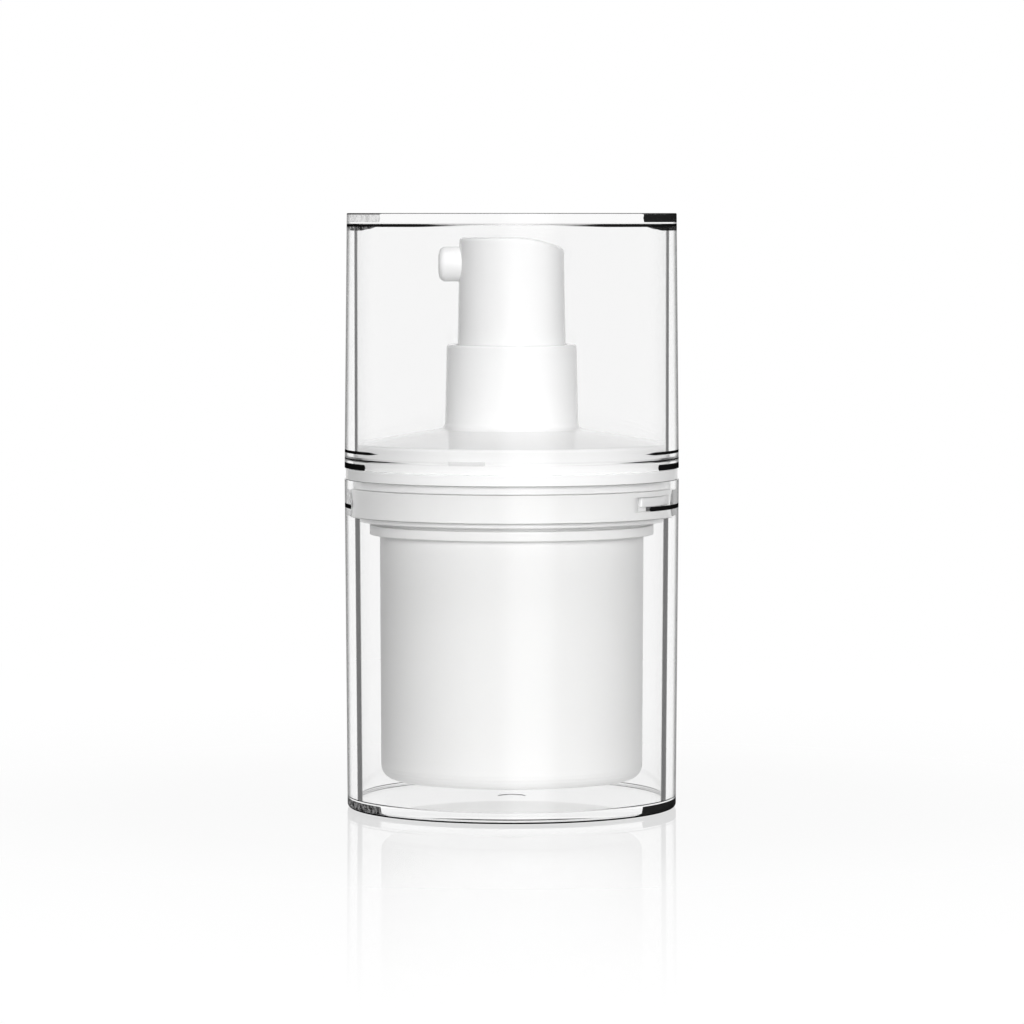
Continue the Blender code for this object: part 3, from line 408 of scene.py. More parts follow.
def build_edges():
    """How much of a clear surface turns dark, from its slant and its side."""
    group, given, out = group_with("dark_edges", EDGE_SOCKETS, ("Share", "Side Slant", "Height"))
    maths, ramp = node_maker(group)
    link = group.links.new
    place = group.nodes.new("ShaderNodeTexCoord")
    normal, spot = group.nodes.new("ShaderNodeSeparateXYZ"), group.nodes.new("ShaderNodeSeparateXYZ")
    link(place.outputs["Normal"], normal.inputs["Vector"])
    link(place.outputs["Object"], spot.inputs["Vector"])
    slant, inside, wall_from, wall_to, exit_from, exit_to, bore_radius, round_from, round_growth = (
        given.outputs[name] for name in EDGE_SOCKETS
    )
    outside = maths("SUBTRACT", 1.0, inside)

    # how steep the surface is, and its slant to the side alone
    tilt = maths("ABSOLUTE", normal.outputs["Z"])
    upright = ramp(tilt, *UPRIGHT_TILT, 1.0, 0.0)
    rounded = maths("MULTIPLY", ramp(tilt, *UPRIGHT_TILT), ramp(tilt, *LEVEL_TILT, 1.0, 0.0))
    level = maths("SQRT", maths("MAXIMUM", maths("SUBTRACT", 1.0, maths("MULTIPLY", tilt, tilt)), 0.01))
    side = maths("SUBTRACT", 1.0, maths("DIVIDE", maths("SUBTRACT", 1.0, slant), level))
    counts = maths("ADD", 1.0, maths("MULTIPLY", inside, INSIDE_SLANT))
    side = maths("MULTIPLY", maths("MAXIMUM", side, 0.0), counts)
    radius = maths("SQRT", maths(
        "ADD", maths("POWER", spot.outputs["X"], 2.0), maths("POWER", spot.outputs["Y"], 2.0)))
    on_bore = maths("LESS_THAN", maths("DIVIDE", radius, MM), bore_radius)

    # walls met at a slant, a soft shade on the bore, and light that leaves the bore at a slant
    wall = maths("MULTIPLY", ramp(slant, wall_from, wall_to, 0.0, WALL_SHARE), outside)
    soft = maths("MULTIPLY", ramp(slant, *SOFT_SLANT, 0.0, SOFT_SHARE), outside)
    soft = maths("MULTIPLY", soft, on_bore)
    leaving = maths(
        "MULTIPLY",
        ramp(slant, exit_from, maths("ADD", exit_from, EXIT_RISE), 0.0, EXIT_SHARE),
        ramp(slant, exit_to, maths("ADD", exit_to, EXIT_FALL), 1.0, 0.0),
    )
    leaving = maths("MULTIPLY", maths("MULTIPLY", leaving, inside), on_bore)
    walls = maths("MULTIPLY", maths("MAXIMUM", maths("MAXIMUM", wall, soft), leaving), upright)

    # roundings, which turn dark sooner where the wall turns away
    start = maths("SUBTRACT", round_from, maths("MULTIPLY", side, round_growth))
    edges = maths("MULTIPLY", ramp(tilt, start, maths("ADD", start, ROUND_RISE)), rounded)
    edges = maths("MULTIPLY", edges, maths("MULTIPLY", outside, maths("SUBTRACT", 1.0, on_bore)))
    link(maths("MAXIMUM", walls, edges), out.inputs["Share"])
    link(maths("MULTIPLY", side, outside), out.inputs["Side Slant"])
    link(maths("DIVIDE", spot.outputs["Z"], MM), out.inputs["Height"])
    return group


ARC_SOCKETS = ("Middle", "Half", "From", "To", "Strength", "Left Delay", "Left Loss", "Streaks")
ARC_EDGE = 0.04         # how soft the edge of an arc is, in millimetres
ARC_STARTS = 0.01       # below this share of its growth an arc isn't drawn
STREAK_SCALE = 1600.0
STREAK_RANGE = (0.4, 0.6)


def build_arc():
    """A dark line along a wall at one height, which is thickest where the wall turns away."""
    group, given, out = group_with("dark_arc", ("Height", "Side Slant", *ARC_SOCKETS), ("Share",))
    maths, ramp = node_maker(group)
    place = group.nodes.new("ShaderNodeTexCoord")
    spot = group.nodes.new("ShaderNodeSeparateXYZ")
    streaks = group.nodes.new("ShaderNodeTexNoise")
    streaks.inputs["Scale"].default_value = STREAK_SCALE
    group.links.new(place.outputs["Object"], spot.inputs["Vector"])
    group.links.new(place.outputs["Object"], streaks.inputs["Vector"])
    middle, most, low, high, strength, left_delay, left_loss, streak_share = (
        given.outputs[name] for name in ARC_SOCKETS
    )
    on_left = maths("LESS_THAN", spot.outputs["X"], 0.0)
    away = maths("ABSOLUTE", maths("SUBTRACT", given.outputs["Height"], middle))
    slant = maths("SUBTRACT", given.outputs["Side Slant"], maths("MULTIPLY", on_left, left_delay))
    growth = ramp(slant, low, high)
    half = maths("MULTIPLY", most, growth)
    share = ramp(away, maths("SUBTRACT", half, ARC_EDGE), half, 1.0, 0.0)
    share = maths("MULTIPLY", share, maths("GREATER_THAN", growth, ARC_STARTS))
    share = maths("MULTIPLY", share, maths("SUBTRACT", 1.0, maths("MULTIPLY", on_left, left_loss)))
    # streaks break up the painted dark reflection of an arc on the left side
    streak_gaps = maths("MULTIPLY", ramp(streaks.outputs["Fac"], *STREAK_RANGE, 0.0, on_left), streak_share)
    share = maths("MULTIPLY", share, maths("SUBTRACT", 1.0, streak_gaps))
    group.links.new(maths("MULTIPLY", share, strength), out.inputs["Share"])
    return group


dark_edges = build_edges()
dark_arc = build_arc()


# %% Acrylic
CLEAR_TINT = 0.957
EDGE_BLACK = 0.008
LAMP_TINT = 0.98        # what the shell lets through for lamps and diffuse rays
BORE_LIMIT = outer_radius - 1.3     # faces closer to the axis than this belong to the bore


def acrylic(name, wall, leaving, rounding, arcs):
    """Clear polished plastic, with the ranges in which its walls, roundings and arcs turn dark."""
    material = bpy.data.materials.new(name)
    material.use_nodes = True
    tree = material.node_tree
    add, link = tree.nodes.new, tree.links.new
    maths, _ = node_maker(tree)
    shader = tree.nodes["Principled BSDF"]
    shader.inputs["Base Color"].default_value = (CLEAR_TINT, CLEAR_TINT, CLEAR_TINT, 1.0)
    shader.inputs["Roughness"].default_value = 0.0
    shader.inputs["IOR"].default_value = PLASTIC_IOR
    shader.inputs["Transmission Weight"].default_value = 1.0

    graze = add("ShaderNodeLayerWeight")
    graze.inputs["Blend"].default_value = 0.5
    sides = add("ShaderNodeNewGeometry")
    edges = add("ShaderNodeGroup")
    edges.node_tree = dark_edges
    link(graze.outputs["Facing"], edges.inputs["Slant"])
    link(sides.outputs["Backfacing"], edges.inputs["Inside"])
    for socket, value in zip(EDGE_SOCKETS[2:], (*wall, *leaving, BORE_LIMIT, *rounding)):
        edges.inputs[socket].default_value = value
    share = edges.outputs["Share"]
    for values in arcs:
        arc = add("ShaderNodeGroup")
        arc.node_tree = dark_arc
        link(edges.outputs["Height"], arc.inputs["Height"])
        link(edges.outputs["Side Slant"], arc.inputs["Side Slant"])
        for socket, value in zip(ARC_SOCKETS, values):
            arc.inputs[socket].default_value = value
        share = maths("MAXIMUM", share, arc.outputs["Share"])
    dark = add("ShaderNodeBsdfDiffuse")
    dark.inputs["Color"].default_value = (EDGE_BLACK, EDGE_BLACK, EDGE_BLACK, 1.0)
    with_edge = add("ShaderNodeMixShader")
    link(share, with_edge.inputs[0])
    link(shader.outputs["BSDF"], with_edge.inputs[1])
    link(dark.outputs["BSDF"], with_edge.inputs[2])

    path = add("ShaderNodeLightPath")
    see_through = add("ShaderNodeBsdfTransparent")
    see_through.inputs["Color"].default_value = (LAMP_TINT, LAMP_TINT, LAMP_TINT, 1.0)
    surface = with_edge.outputs["Shader"]
    for ray in ("Is Diffuse Ray", "Is Shadow Ray"):
        for_light = add("ShaderNodeMixShader")
        link(path.outputs[ray], for_light.inputs[0])
        link(surface, for_light.inputs[1])
        link(see_through.outputs["BSDF"], for_light.inputs[2])
        surface = for_light.outputs["Shader"]
    link(surface, tree.nodes["Material Output"].inputs["Surface"])
    return material


WALL_RANGE = (0.76, 0.88)           # the slants between which a wall turns dark

# Each arc has a middle height and half a thickness in millimetres, the side slants from and to
# which it grows, its strength, and on the left a delay of the slant, a loss and a share of streaks.
clear_cap = acrylic("clear_cap", WALL_RANGE, (0.247, 0.2585), (0.98, 1.2), (
    (cap_top - 0.12, 0.13, 0.38, 0.41, 0.8, 0.0, 0.0, 0.0),         # top edge
    (cap_top - 0.7, 0.6, 0.395, 0.405, 0.99, 0.0, 0.6, 0.5),        # blocks at the top corners
    (cap_top - 1.76, 0.21, -0.01, 0.2, 1.0, 0.0, 0.0, 0.0),         # line under the top plate
    (cap_top - 2.0, 0.5, 0.42, 0.6, 0.97, 0.0, 0.0, 0.4),           # wedges at its ends
    (cap_mouth + 2.45, 0.23, 0.38, 0.5, 1.0, 0.0, 0.0, 0.0),        # three arcs over the mouth
    (cap_mouth + 1.4, 0.12, 0.16, 0.4, 1.0, 0.0, 0.0, 0.0),
    (cap_mouth + 0.42, 0.44, 0.515, 0.53, 1.0, 0.0, 0.0, 0.0),
))
clear_base = acrylic("clear_base", WALL_RANGE, (0.2385, 0.2575), (0.45, 0.1), (
    (0.7, 0.8, 0.395, 0.405, 0.99, 0.0, 0.02, 0.2),                 # blocks at the foot
    (1.75, 0.08, -0.02, 0.4, 0.9, 0.0, 0.0, 0.0),                   # line over the floor
    (ring_low + 2.0, 1.9, 0.68, 0.72, 0.5, 0.0, 0.0, 0.5),          # shade beside the ring
    (ring_low + 1.45, 0.34, 0.43, 0.45, 1.0, 0.29, 0.0, 0.0),       # arc at the window
))

# %% [markdown]
# ## The outer base
# The base is a thick tumbler. Its wall is 1.5 mm, its foot is rounded, and its floor carries the
# small round mark of the moulding gate. Under the rim a seat is cut into the bore for the ring,
# with a lip over it. It is one outline from the floor's middle, up the bore, over the rim and
# down the outside to the middle of the underside.

# %% Outer base
WALL = 1.5
FLOOR = 1.5
GATE_RADIUS = 2.0
GATE_DEPTH = 0.08
FOOT_IN = 0.35          # how much narrower the foot is than the rim
FOOT_ROUND = 0.55
FLOOR_IN = 0.3          # how much narrower the bore is at the floor
LIP_STEP = 0.36
SEAT_STEP = 0.7
SEAT_GAP = 0.1

bore = outer_radius - WALL
seat = bore + SEAT_STEP
lip_bore = bore + LIP_STEP
base_outline = [
    (0.0, FLOOR - GATE_DEPTH, 0.0),
    (GATE_RADIUS - GATE_DEPTH, FLOOR - GATE_DEPTH, 0.0),
    (GATE_RADIUS, FLOOR, 0.0),
    (bore - FLOOR_IN, FLOOR, 0.15),
    (bore, ring_low - SEAT_GAP, 0.0),
    (seat, ring_low - SEAT_GAP, 0.0),
    (seat, ring_top + SEAT_GAP, 0.0),
    (lip_bore, ring_top + SEAT_GAP, 0.0),
    (lip_bore, rim, 0.0),
    (outer_radius, rim, 0.0),
    (outer_radius - FOOT_IN, 0.0, FOOT_ROUND),
    (0.0, 0.0, 0.0),
]
finished("outer_base", turn(base_outline), "base", clear_base, "base_vessel")

# %% [markdown]
# ## The over-cap
# The cap is a clear cup upside down, with a top plate as thick as its wall. Inside its mouth the
# bore steps out a little, and a shallow groove runs round it for the snap beads.

# %% Over-cap
TOP_PLATE = 1.5
CAP_DRAFT = 0.37
MOUTH_DEPTH = 2.6
MOUTH_STEP = 0.32
GROOVE_LOW = 1.1
GROOVE_HEIGHT = 0.6
GROOVE_DEPTH = 0.1

mouth_bore = bore + MOUTH_STEP
groove_low = cap_mouth + GROOVE_LOW
cap_outline = [
    (0.0, cap_top, 0.0),
    (outer_radius - CAP_DRAFT, cap_top, 0.15),
    (outer_radius, cap_mouth, 0.0),
    (mouth_bore, cap_mouth, 0.0),
    (mouth_bore, groove_low, 0.0),
    (mouth_bore + GROOVE_DEPTH, groove_low + GROOVE_HEIGHT / 2, 0.0),
    (mouth_bore, groove_low + GROOVE_HEIGHT, 0.0),
    (mouth_bore, cap_mouth + MOUTH_DEPTH, 0.0),
    (bore, cap_mouth + MOUTH_DEPTH, 0.0),
    (bore, cap_top - TOP_PLATE, 0.25),
    (0.0, cap_top - TOP_PLATE, 0.0),
]
finished("clear_over_cap", turn(cap_outline), "cap", clear_cap, "over_cap")

# %% [markdown]
# ## The lock ring
# A white ring is snapped into the base's seat. Two windows show the lugs of the collar, and beside
# each window a channel on the inside leads a lug in from above. The ring is turned on a grid of
# 1.5 degrees. The faces of a window are deleted on the outer and the inner wall, and bridge_loops
# closes the cut. The channel is a stretch of the inner wall that is pushed outwards.

# %% Lock ring
RING_SIDES = 240
WINDOW_DROP = 0.7
WINDOW_HEIGHT = 2.1
WINDOW_FROM = -37.5
WINDOW_TO = 3.0
WINDOW_SLANT = 4.5      # how much further the outer wall is cut, so that the end is slanted
CHANNEL_FROM = -10.5
CHANNEL_TO = 16.5
CHANNEL_DEPTH = 0.55
CHANNEL_SILL = 0.05
RING_WALL = 0.95

window_top = ring_top - WINDOW_DROP
window_low = window_top - WINDOW_HEIGHT
ring_outer = reach("lock_ring")
ring_inner = ring_outer - RING_WALL


def degrees_of(point):
    """Angle of a point round the bottle's axis."""
    return math.degrees(math.atan2(point.y, point.x))


def within(point, low, high):
    """Whether a point lies between two angles, on either side of the bottle."""
    angle = degrees_of(point)
    return any(low < turned < high for turned in (angle, angle + 180, angle - 180))


ring_outline = [
    (ring_inner, ring_top, 0.0),
    (ring_outer, ring_top, 0.0),
    (ring_outer, window_top, 0.0),
    (ring_outer, window_low, 0.0),
    (ring_outer, ring_low, 0.0),
    (ring_inner, ring_low, 0.0),
    (ring_inner, window_low - CHANNEL_SILL, 0.0),
    (ring_inner, window_low, 0.0),
    (ring_inner, window_top, 0.0),
]
ring = turn(ring_outline, closed=True, sides=RING_SIDES)
for vert in ring.verts:
    radius = vert.co.xy.length / MM
    in_channel = within(vert.co, CHANNEL_FROM - 0.1, CHANNEL_TO + 0.1)
    if in_channel and abs(radius - ring_inner) < 0.01 and vert.co.z / MM > window_low - 0.01:
        vert.co.xy *= (ring_inner + CHANNEL_DEPTH) / ring_inner
in_window = []
for face in ring.faces:
    middle = face.calc_center_median()
    on_outside = middle.xy.length / MM > ring_outer - RING_WALL / 2
    start = WINDOW_FROM - WINDOW_SLANT if on_outside else WINDOW_FROM
    if window_low < middle.z / MM < window_top and within(middle, start, WINDOW_TO):
        in_window.append(face)
bmesh.ops.delete(ring, geom=in_window, context="FACES")
for side in (-1, 1):
    cut_edges = [edge for edge in ring.edges if edge.is_boundary and edge.verts[0].co.x * side > 0]
    bmesh.ops.bridge_loops(ring, edges=cut_edges)
clean(ring)
finished("white_ring", ring, "base", white_satin, "lock_ring")

# %% [markdown]
# ## The shoulder collar
# One white moulding makes the neck round the button, the sloped shoulder, the spigot that the
# cap slips over, the flange that shows between cap and base, and the skirt that goes down into
# the ring. Its lugs and snap beads are bars bent round the axis, rooted in the wall. A thin
# black bar in the gap under each lug is a painted shadow, and the beads are painted a shaded grey.

# %% Shoulder collar
FLANGE_IN = 0.15
FLANGE_THICKNESS = 1.45
REST_LOWER = 0.06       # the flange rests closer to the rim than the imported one, or the gap looks black
SPIGOT_LOW_HEIGHT = 1.4
SPIGOT_HEIGHT = 3.5
SPIGOT_GAP = 0.22
SLIDE_GAP = 0.15
CONE_RISE = 2.1
NECK_BORE = 8.15
NECK_RADIUS = 9.33
NECK_FOOT = 9.6
SHOULDER_WALL = 1.3
UNDER_STEP = 0.9        # where the shoulder's underside starts, out from the skirt's bore
UNDER_DROP = 1.6        # and down from the cone's edge
SKIRT_RADIUS = 21.95
SKIRT_WALL = 2.05
PLUG_GAP = 0.16

flange_top = cap_mouth - SEAT_GAP
flange_low = flange_top - FLANGE_THICKNESS - REST_LOWER
spigot_step = flange_top + SPIGOT_LOW_HEIGHT
cone_edge = flange_top + SPIGOT_HEIGHT
cone_top = cone_edge + CONE_RISE
spigot_low = mouth_bore - SPIGOT_GAP
spigot_high = bore - SLIDE_GAP
skirt_bore = SKIRT_RADIUS - SKIRT_WALL
collar_outline = [
    (NECK_BORE, neck_top, 0.15),
    (NECK_RADIUS, neck_top, 0.35),
    (NECK_FOOT, cone_top, 0.8),
    (spigot_high, cone_edge, 0.4),
    (spigot_high, spigot_step, 0.05),
    (spigot_low, spigot_step, 0.1),
    (spigot_low, flange_top, 0.05),
    (outer_radius - FLANGE_IN, flange_top, 0.05),
    (outer_radius - FLANGE_IN, flange_low, 0.05),
    (lip_bore - PLUG_GAP, flange_low, 0.05),
    (lip_bore - PLUG_GAP, ring_top + SEAT_GAP, 0.1),
    (SKIRT_RADIUS, ring_top + SEAT_GAP, 0.05),
    (SKIRT_RADIUS, skirt_low, 0.2),
    (skirt_bore, skirt_low, 0.15),
    (skirt_bore, flange_top, 0.5),
    (skirt_bore + UNDER_STEP, cone_edge - UNDER_DROP, 0.3),
    (NECK_BORE, cone_top - SHOULDER_WALL, 0.3),
]
collar = turn(collar_outline, closed=True)

# %% Lugs and snap beads
LUG_FROM = -36.8
LUG_SPAN = 26.0
LUG_REACH = 0.65
LUG_DROP = 0.1
LUG_HEIGHT = 1.35
LUG_ROUND = 0.12
BEAD_FROM = -112.6
BEAD_SPAN = 13.2
BEAD_LOW = 1.2
BEAD_HEIGHT = 0.68
BEAD_ROUND = 0.1
BEAD_CLEARANCE = 0.12
ROOT = 0.5              # how deep a bar starts inside its wall
SKIN = 0.02             # how far the black bars of painted shadow stand out of the skirt
GAP_FROM = -31.5        # the gap under a lug, where a black bar is painted shadow
GAP_SPAN = 33.7
GAP_SINK = 0.1

lug_top = window_top - LUG_DROP
lug_low = lug_top - LUG_HEIGHT
bead_low = flange_top + BEAD_LOW
bars = (        # radii, heights, angles at which each starts, span, rounding and material
    ((SKIRT_RADIUS - ROOT, SKIRT_RADIUS + LUG_REACH), (lug_low, lug_top),
     (LUG_FROM, LUG_FROM + 180), LUG_SPAN, LUG_ROUND, 0),
    # a black bar of painted shadow in the gap under each lug
    ((SKIRT_RADIUS - ROOT, SKIRT_RADIUS + SKIN), (window_low - GAP_SINK, lug_low - GAP_SINK / 2),
     (GAP_FROM, GAP_FROM + 180), GAP_SPAN, 0.0, 1),
    # the snap beads, in the grey of painted shade
    ((spigot_high - ROOT, mouth_bore - BEAD_CLEARANCE), (bead_low, bead_low + BEAD_HEIGHT),
     (BEAD_FROM, BEAD_FROM + 120, BEAD_FROM + 240), BEAD_SPAN, BEAD_ROUND, 2),
)
for radii, levels, starts, span, rounding, material_index in bars:
    first_face = len(collar.faces)
    for start in starts:
        add_to(collar, sector(radii, levels, start, span, rounding))
    collar.faces.ensure_lookup_table()
    for face in collar.faces[first_face:]:
        face.material_index = material_index
white_collar = finished("white_collar", collar, "refill", white_gloss, "shoulder_collar")
# the painted shadow under the lugs and the painted-shade beads take the second and third slots
white_collar.data.materials.append(gap_painted_shadow)
white_collar.data.materials.append(bead_painted_shade)

# %% [markdown]
# ## The cartridge
# The cartridge is the cup that is thrown away when it is empty. It narrows a little downwards so
# that it leaves its mould, its bottom corner is rounded, and a flange stands out under the
# collar's skirt.

# %% Cartridge
CARTRIDGE_NECK = 19.7
CARTRIDGE_WALL = 1.2
CARTRIDGE_BORE = 17.75
CARTRIDGE_DRAFT = 0.15
CARTRIDGE_FLANGE = 1.4
CARTRIDGE_HANG = 0.5
VENT_RADIUS = 3.0

cartridge_flange_top = skirt_low - CARTRIDGE_HANG
cartridge_flange_low = cartridge_flange_top - CARTRIDGE_FLANGE
cartridge_radius = CARTRIDGE_BORE + CARTRIDGE_WALL
cartridge_outline = [
    (VENT_RADIUS, cartridge_low + CARTRIDGE_WALL, 0.1),
    (CARTRIDGE_BORE - CARTRIDGE_DRAFT, cartridge_low + CARTRIDGE_WALL, 0.8),
    (CARTRIDGE_BORE, cartridge_top, 0.1),
    (CARTRIDGE_NECK, cartridge_top, 0.15),
    (CARTRIDGE_NECK, cartridge_flange_top, 0.1),
    (reach("cartridge"), cartridge_flange_top, 0.15),
    (reach("cartridge"), cartridge_flange_low, 0.15),
    (cartridge_radius, cartridge_flange_low, 0.2),
    (cartridge_radius - CARTRIDGE_DRAFT, cartridge_low, 2.0),
    (VENT_RADIUS, cartridge_low, 0.1),
]
cup = turn(cartridge_outline, closed=True)
finished("refill_cup", cup, "refill", white_satin, "cartridge")

# %% [markdown]
# ## The button and its spout
# The button is a tall cap over the pump's stem. Its top is flat towards the spout and falls away
# behind it, so that the finger finds the direction. After turning, the vertices of the top are
# lowered along a circle. The spout is turned about Z as well, and then laid along -X.

# %% Button
BUTTON_RADIUS = 7.75
BUTTON_DRAFT = 0.25
BUTTON_WALL = 1.25
BUTTON_ROOF = 3.0
BUTTON_FALL = 1.6
TOP_RINGS = 12
EDGE_ROUND = 0.5

top_radius = BUTTON_RADIUS - BUTTON_DRAFT
button_outline = [
    *[(top_radius * ring_share / TOP_RINGS, button_top, 0.0) for ring_share in range(TOP_RINGS)],
    (top_radius, button_top, EDGE_ROUND),
    (BUTTON_RADIUS, neck_top, 0.0),
    (BUTTON_RADIUS, button_low, 0.15),
    (BUTTON_RADIUS - BUTTON_WALL, button_low, 0.15),
    (BUTTON_RADIUS - BUTTON_WALL, button_top - BUTTON_ROOF, 0.5),
    (0.0, button_top - BUTTON_ROOF, 0.0),
]
button = turn(button_outline)
bend = (top_radius ** 2 + BUTTON_FALL ** 2) / (2 * BUTTON_FALL) * MM
for vert in button.verts:
    if vert.co.z / MM > button_top - 2 * EDGE_ROUND and vert.co.x > 0:
        vert.co.z -= bend - math.sqrt(bend ** 2 - vert.co.x ** 2)

# %% Spout
SPOUT_RADIUS = 2.5
SPOUT_ROUND = 0.8
SPOUT_DROP = 3.8
SPOUT_ROOT = 6.0
SPOUT_SIDES = 96
POCKET_RADIUS = 1.6
POCKET_BACK = 0.06      # the spout's face lies this far behind its packed tip
EDGE_BACK = 0.15

spout_reach = -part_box("actuator")[0].x / MM
spout_height = Matrix.Translation((0, 0, (button_top - SPOUT_DROP) * MM))
along_nozzle = spout_height @ Matrix.Rotation(-math.pi / 2, 4, "Y")
spout = turn([
    (POCKET_RADIUS, spout_reach - POCKET_BACK, 0.1),
    (SPOUT_RADIUS, spout_reach - EDGE_BACK, SPOUT_ROUND),
    (SPOUT_RADIUS, SPOUT_ROOT, 0.0),
    (POCKET_RADIUS, SPOUT_ROOT, 0.0),
], closed=True, sides=SPOUT_SIDES)
bmesh.ops.transform(spout, matrix=along_nozzle, verts=spout.verts)
add_to(button, spout)
finished("white_button", button, "head", white_gloss, "actuator")

# %% Orifice piece
ORIFICE_RADIUS = 0.5
ORIFICE_FLARE = 0.4
INSERT_RADIUS = 1.5
INSERT_SIDES = 64

insert_high = -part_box("nozzle_insert")[0].x / MM
insert_low = -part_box("nozzle_insert")[1].x / MM
insert = turn([
    (ORIFICE_RADIUS, insert_high - ORIFICE_FLARE, 0.1),
    (ORIFICE_RADIUS + ORIFICE_FLARE, insert_high, 0.1),
    (INSERT_RADIUS, insert_high, 0.15),
    (INSERT_RADIUS, insert_low, 0.1),
    (ORIFICE_RADIUS, insert_low, 0.0),
], closed=True, sides=INSERT_SIDES)
bmesh.ops.transform(insert, matrix=along_nozzle, verts=insert.verts)
finished("orifice_piece", insert, "head", white_satin, "nozzle_insert")

# %% [markdown]
# ## The return spring
# The spring is a disc swept round the axis and up: one closed turn, three open ones and another
# closed turn. It is fixed at its seat and keeps its length, though the real one shortens when pressed.

# %% Return spring
SPRING_WIRE = 0.5
SPRING_STEPS = 32       # in each turn
WIRE_SIDES = 16
CLOSED_PITCH = SPRING_WIRE + SEAT_GAP
OPEN_TURNS = 3

spring_low, spring_high = heights("return_spring")
coil_radius = reach("return_spring") - SPRING_WIRE / 2
open_pitch = (spring_high - spring_low - SPRING_WIRE - 2 * CLOSED_PITCH) / OPEN_TURNS
wire_start = Matrix.Translation((coil_radius * MM, 0.0, (spring_low + SPRING_WIRE / 2) * MM))
coil = bmesh.new()
bmesh.ops.create_circle(
    coil, cap_ends=True, segments=WIRE_SIDES, radius=SPRING_WIRE / 2 * MM,
    matrix=wire_start @ Matrix.Rotation(math.pi / 2, 4, "X"),
)
wire_end = [*coil.faces, *coil.edges, *coil.verts]
for turns, pitch in ((1, CLOSED_PITCH), (OPEN_TURNS, open_pitch), (1, CLOSED_PITCH)):
    swept = bmesh.ops.spin(
        coil, geom=wire_end, cent=(0, 0, 0), axis=(0, 0, 1), dvec=(0, 0, pitch / SPRING_STEPS * MM),
        angle=math.tau * turns, steps=turns * SPRING_STEPS, use_merge=False,
    )
    wire_end = swept["geom_last"]
clean(coil)
print("open edges of the spring:", sum(edge.is_boundary for edge in coil.edges))
coil_spring = finished("coil_spring", coil, "refill", spring_steel, "return_spring")

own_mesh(coil_spring)

# %% [markdown]
# ## The pump inside
# The pump hides in the collar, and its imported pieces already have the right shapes. Each only
# gets its finish, by its slot in the record.

# %% Finishes of the hidden pieces
by_slot = {
    "white_satin": white_satin,
    "white_gloss": white_gloss,
    "natural_plastic": natural_plastic,
    "elastomer": elastomer,
    "spring_steel": spring_steel,
    "clear_acrylic": clear_base,
}
for part in frame["record"]["subparts"]:
    node = nodes[part["node"]]
    node.data.materials.clear()
    node.data.materials.append(by_slot[part["material_slot"]])
    print(part["node"], "is finished in", part["material_slot"])

# %% [markdown]
# ## Floor
# The bottle stands on a white glossy board. Seen by the camera the board is as white as the
# background, so it has no horizon. A small share of it takes the lamps' light, which keeps the
# bottle's soft shadow, and near the bottle it mirrors faintly. The mirror fades with the distance
# from the bottle, by a gradient on the board itself. As a light the board is weak, apart from a
# disc under the bottle that lights the cup from below.

# %% Floor
FLOOR_SIZE = 6.0
FLOOR_DROP = 0.03 * MM  # the bottle rests on specks, so air stays under it
LIT_SHARE = 0.04        # what the board takes of the lamps' light near the bottle
LIT_TO = 0.25           # beyond this distance it takes none
BOARD_WHITE = 0.98      # near the bottle, and 1 beyond
FLOOR_GLOW = 0.15       # what the floor sends to the white pieces
GLOW_UNDER = 1.3        # and what it sends up from right under the bottle
UNDER_TO = 0.03
MIRROR_ROUGHNESS = 0.02
MIRROR_STEPS = (        # distances from the axis in metres, and the mirror's share there
    (0.024, 0.3), (0.056, 0.25), (0.092, 0.13), (0.134, 0.07), (0.172, 0.02), (0.195, 0.0),
)


def floor_material():
    """White for the eye, weak for diffuse light, with a mirror that fades."""
    material = bpy.data.materials.new("white_board")
    material.use_nodes = True
    tree = material.node_tree
    tree.nodes.clear()
    add, link = tree.nodes.new, tree.links.new
    out = add("ShaderNodeOutputMaterial")
    place = add("ShaderNodeTexCoord")
    far = add("ShaderNodeVectorMath")
    far.operation = "LENGTH"
    link(place.outputs["Object"], far.inputs[0])
    path = add("ShaderNodeLightPath")
    glow = add("ShaderNodeMix")
    glow.inputs["A"].default_value = 1.0
    link(path.outputs["Is Diffuse Ray"], glow.inputs["Factor"])
    white = add("ShaderNodeEmission")
    link(glow.outputs["Result"], white.inputs["Strength"])
    lit = add("ShaderNodeBsdfDiffuse")
    _, ramp = node_maker(tree)
    for socket, reach_out, near, beyond in (
        (glow.inputs["B"], UNDER_TO, GLOW_UNDER, FLOOR_GLOW),
        (white.inputs["Color"], LIT_TO, BOARD_WHITE, 1.0),
        (lit.inputs["Color"], LIT_TO, LIT_SHARE, 0.0),
    ):
        link(ramp(far.outputs["Value"], reach_out / 2, reach_out, near, beyond), socket)
    board = add("ShaderNodeAddShader")
    link(white.outputs[0], board.inputs[0])
    link(lit.outputs[0], board.inputs[1])
    mirror = add("ShaderNodeBsdfGlossy")
    mirror.inputs["Roughness"].default_value = MIRROR_ROUGHNESS
    fade = add("ShaderNodeValToRGB")
    steps = fade.color_ramp.elements
    for index, (position, share) in enumerate(MIRROR_STEPS):
        step = steps[index] if index < 2 else steps.new(position)
        step.position = position
        step.color = (share, share, share, 1.0)
    link(far.outputs["Value"], fade.inputs["Fac"])
    both = add("ShaderNodeMixShader")
    link(fade.outputs["Color"], both.inputs[0])
    link(board.outputs[0], both.inputs[1])
    link(mirror.outputs[0], both.inputs[2])
    link(both.outputs[0], out.inputs["Surface"])
    return material


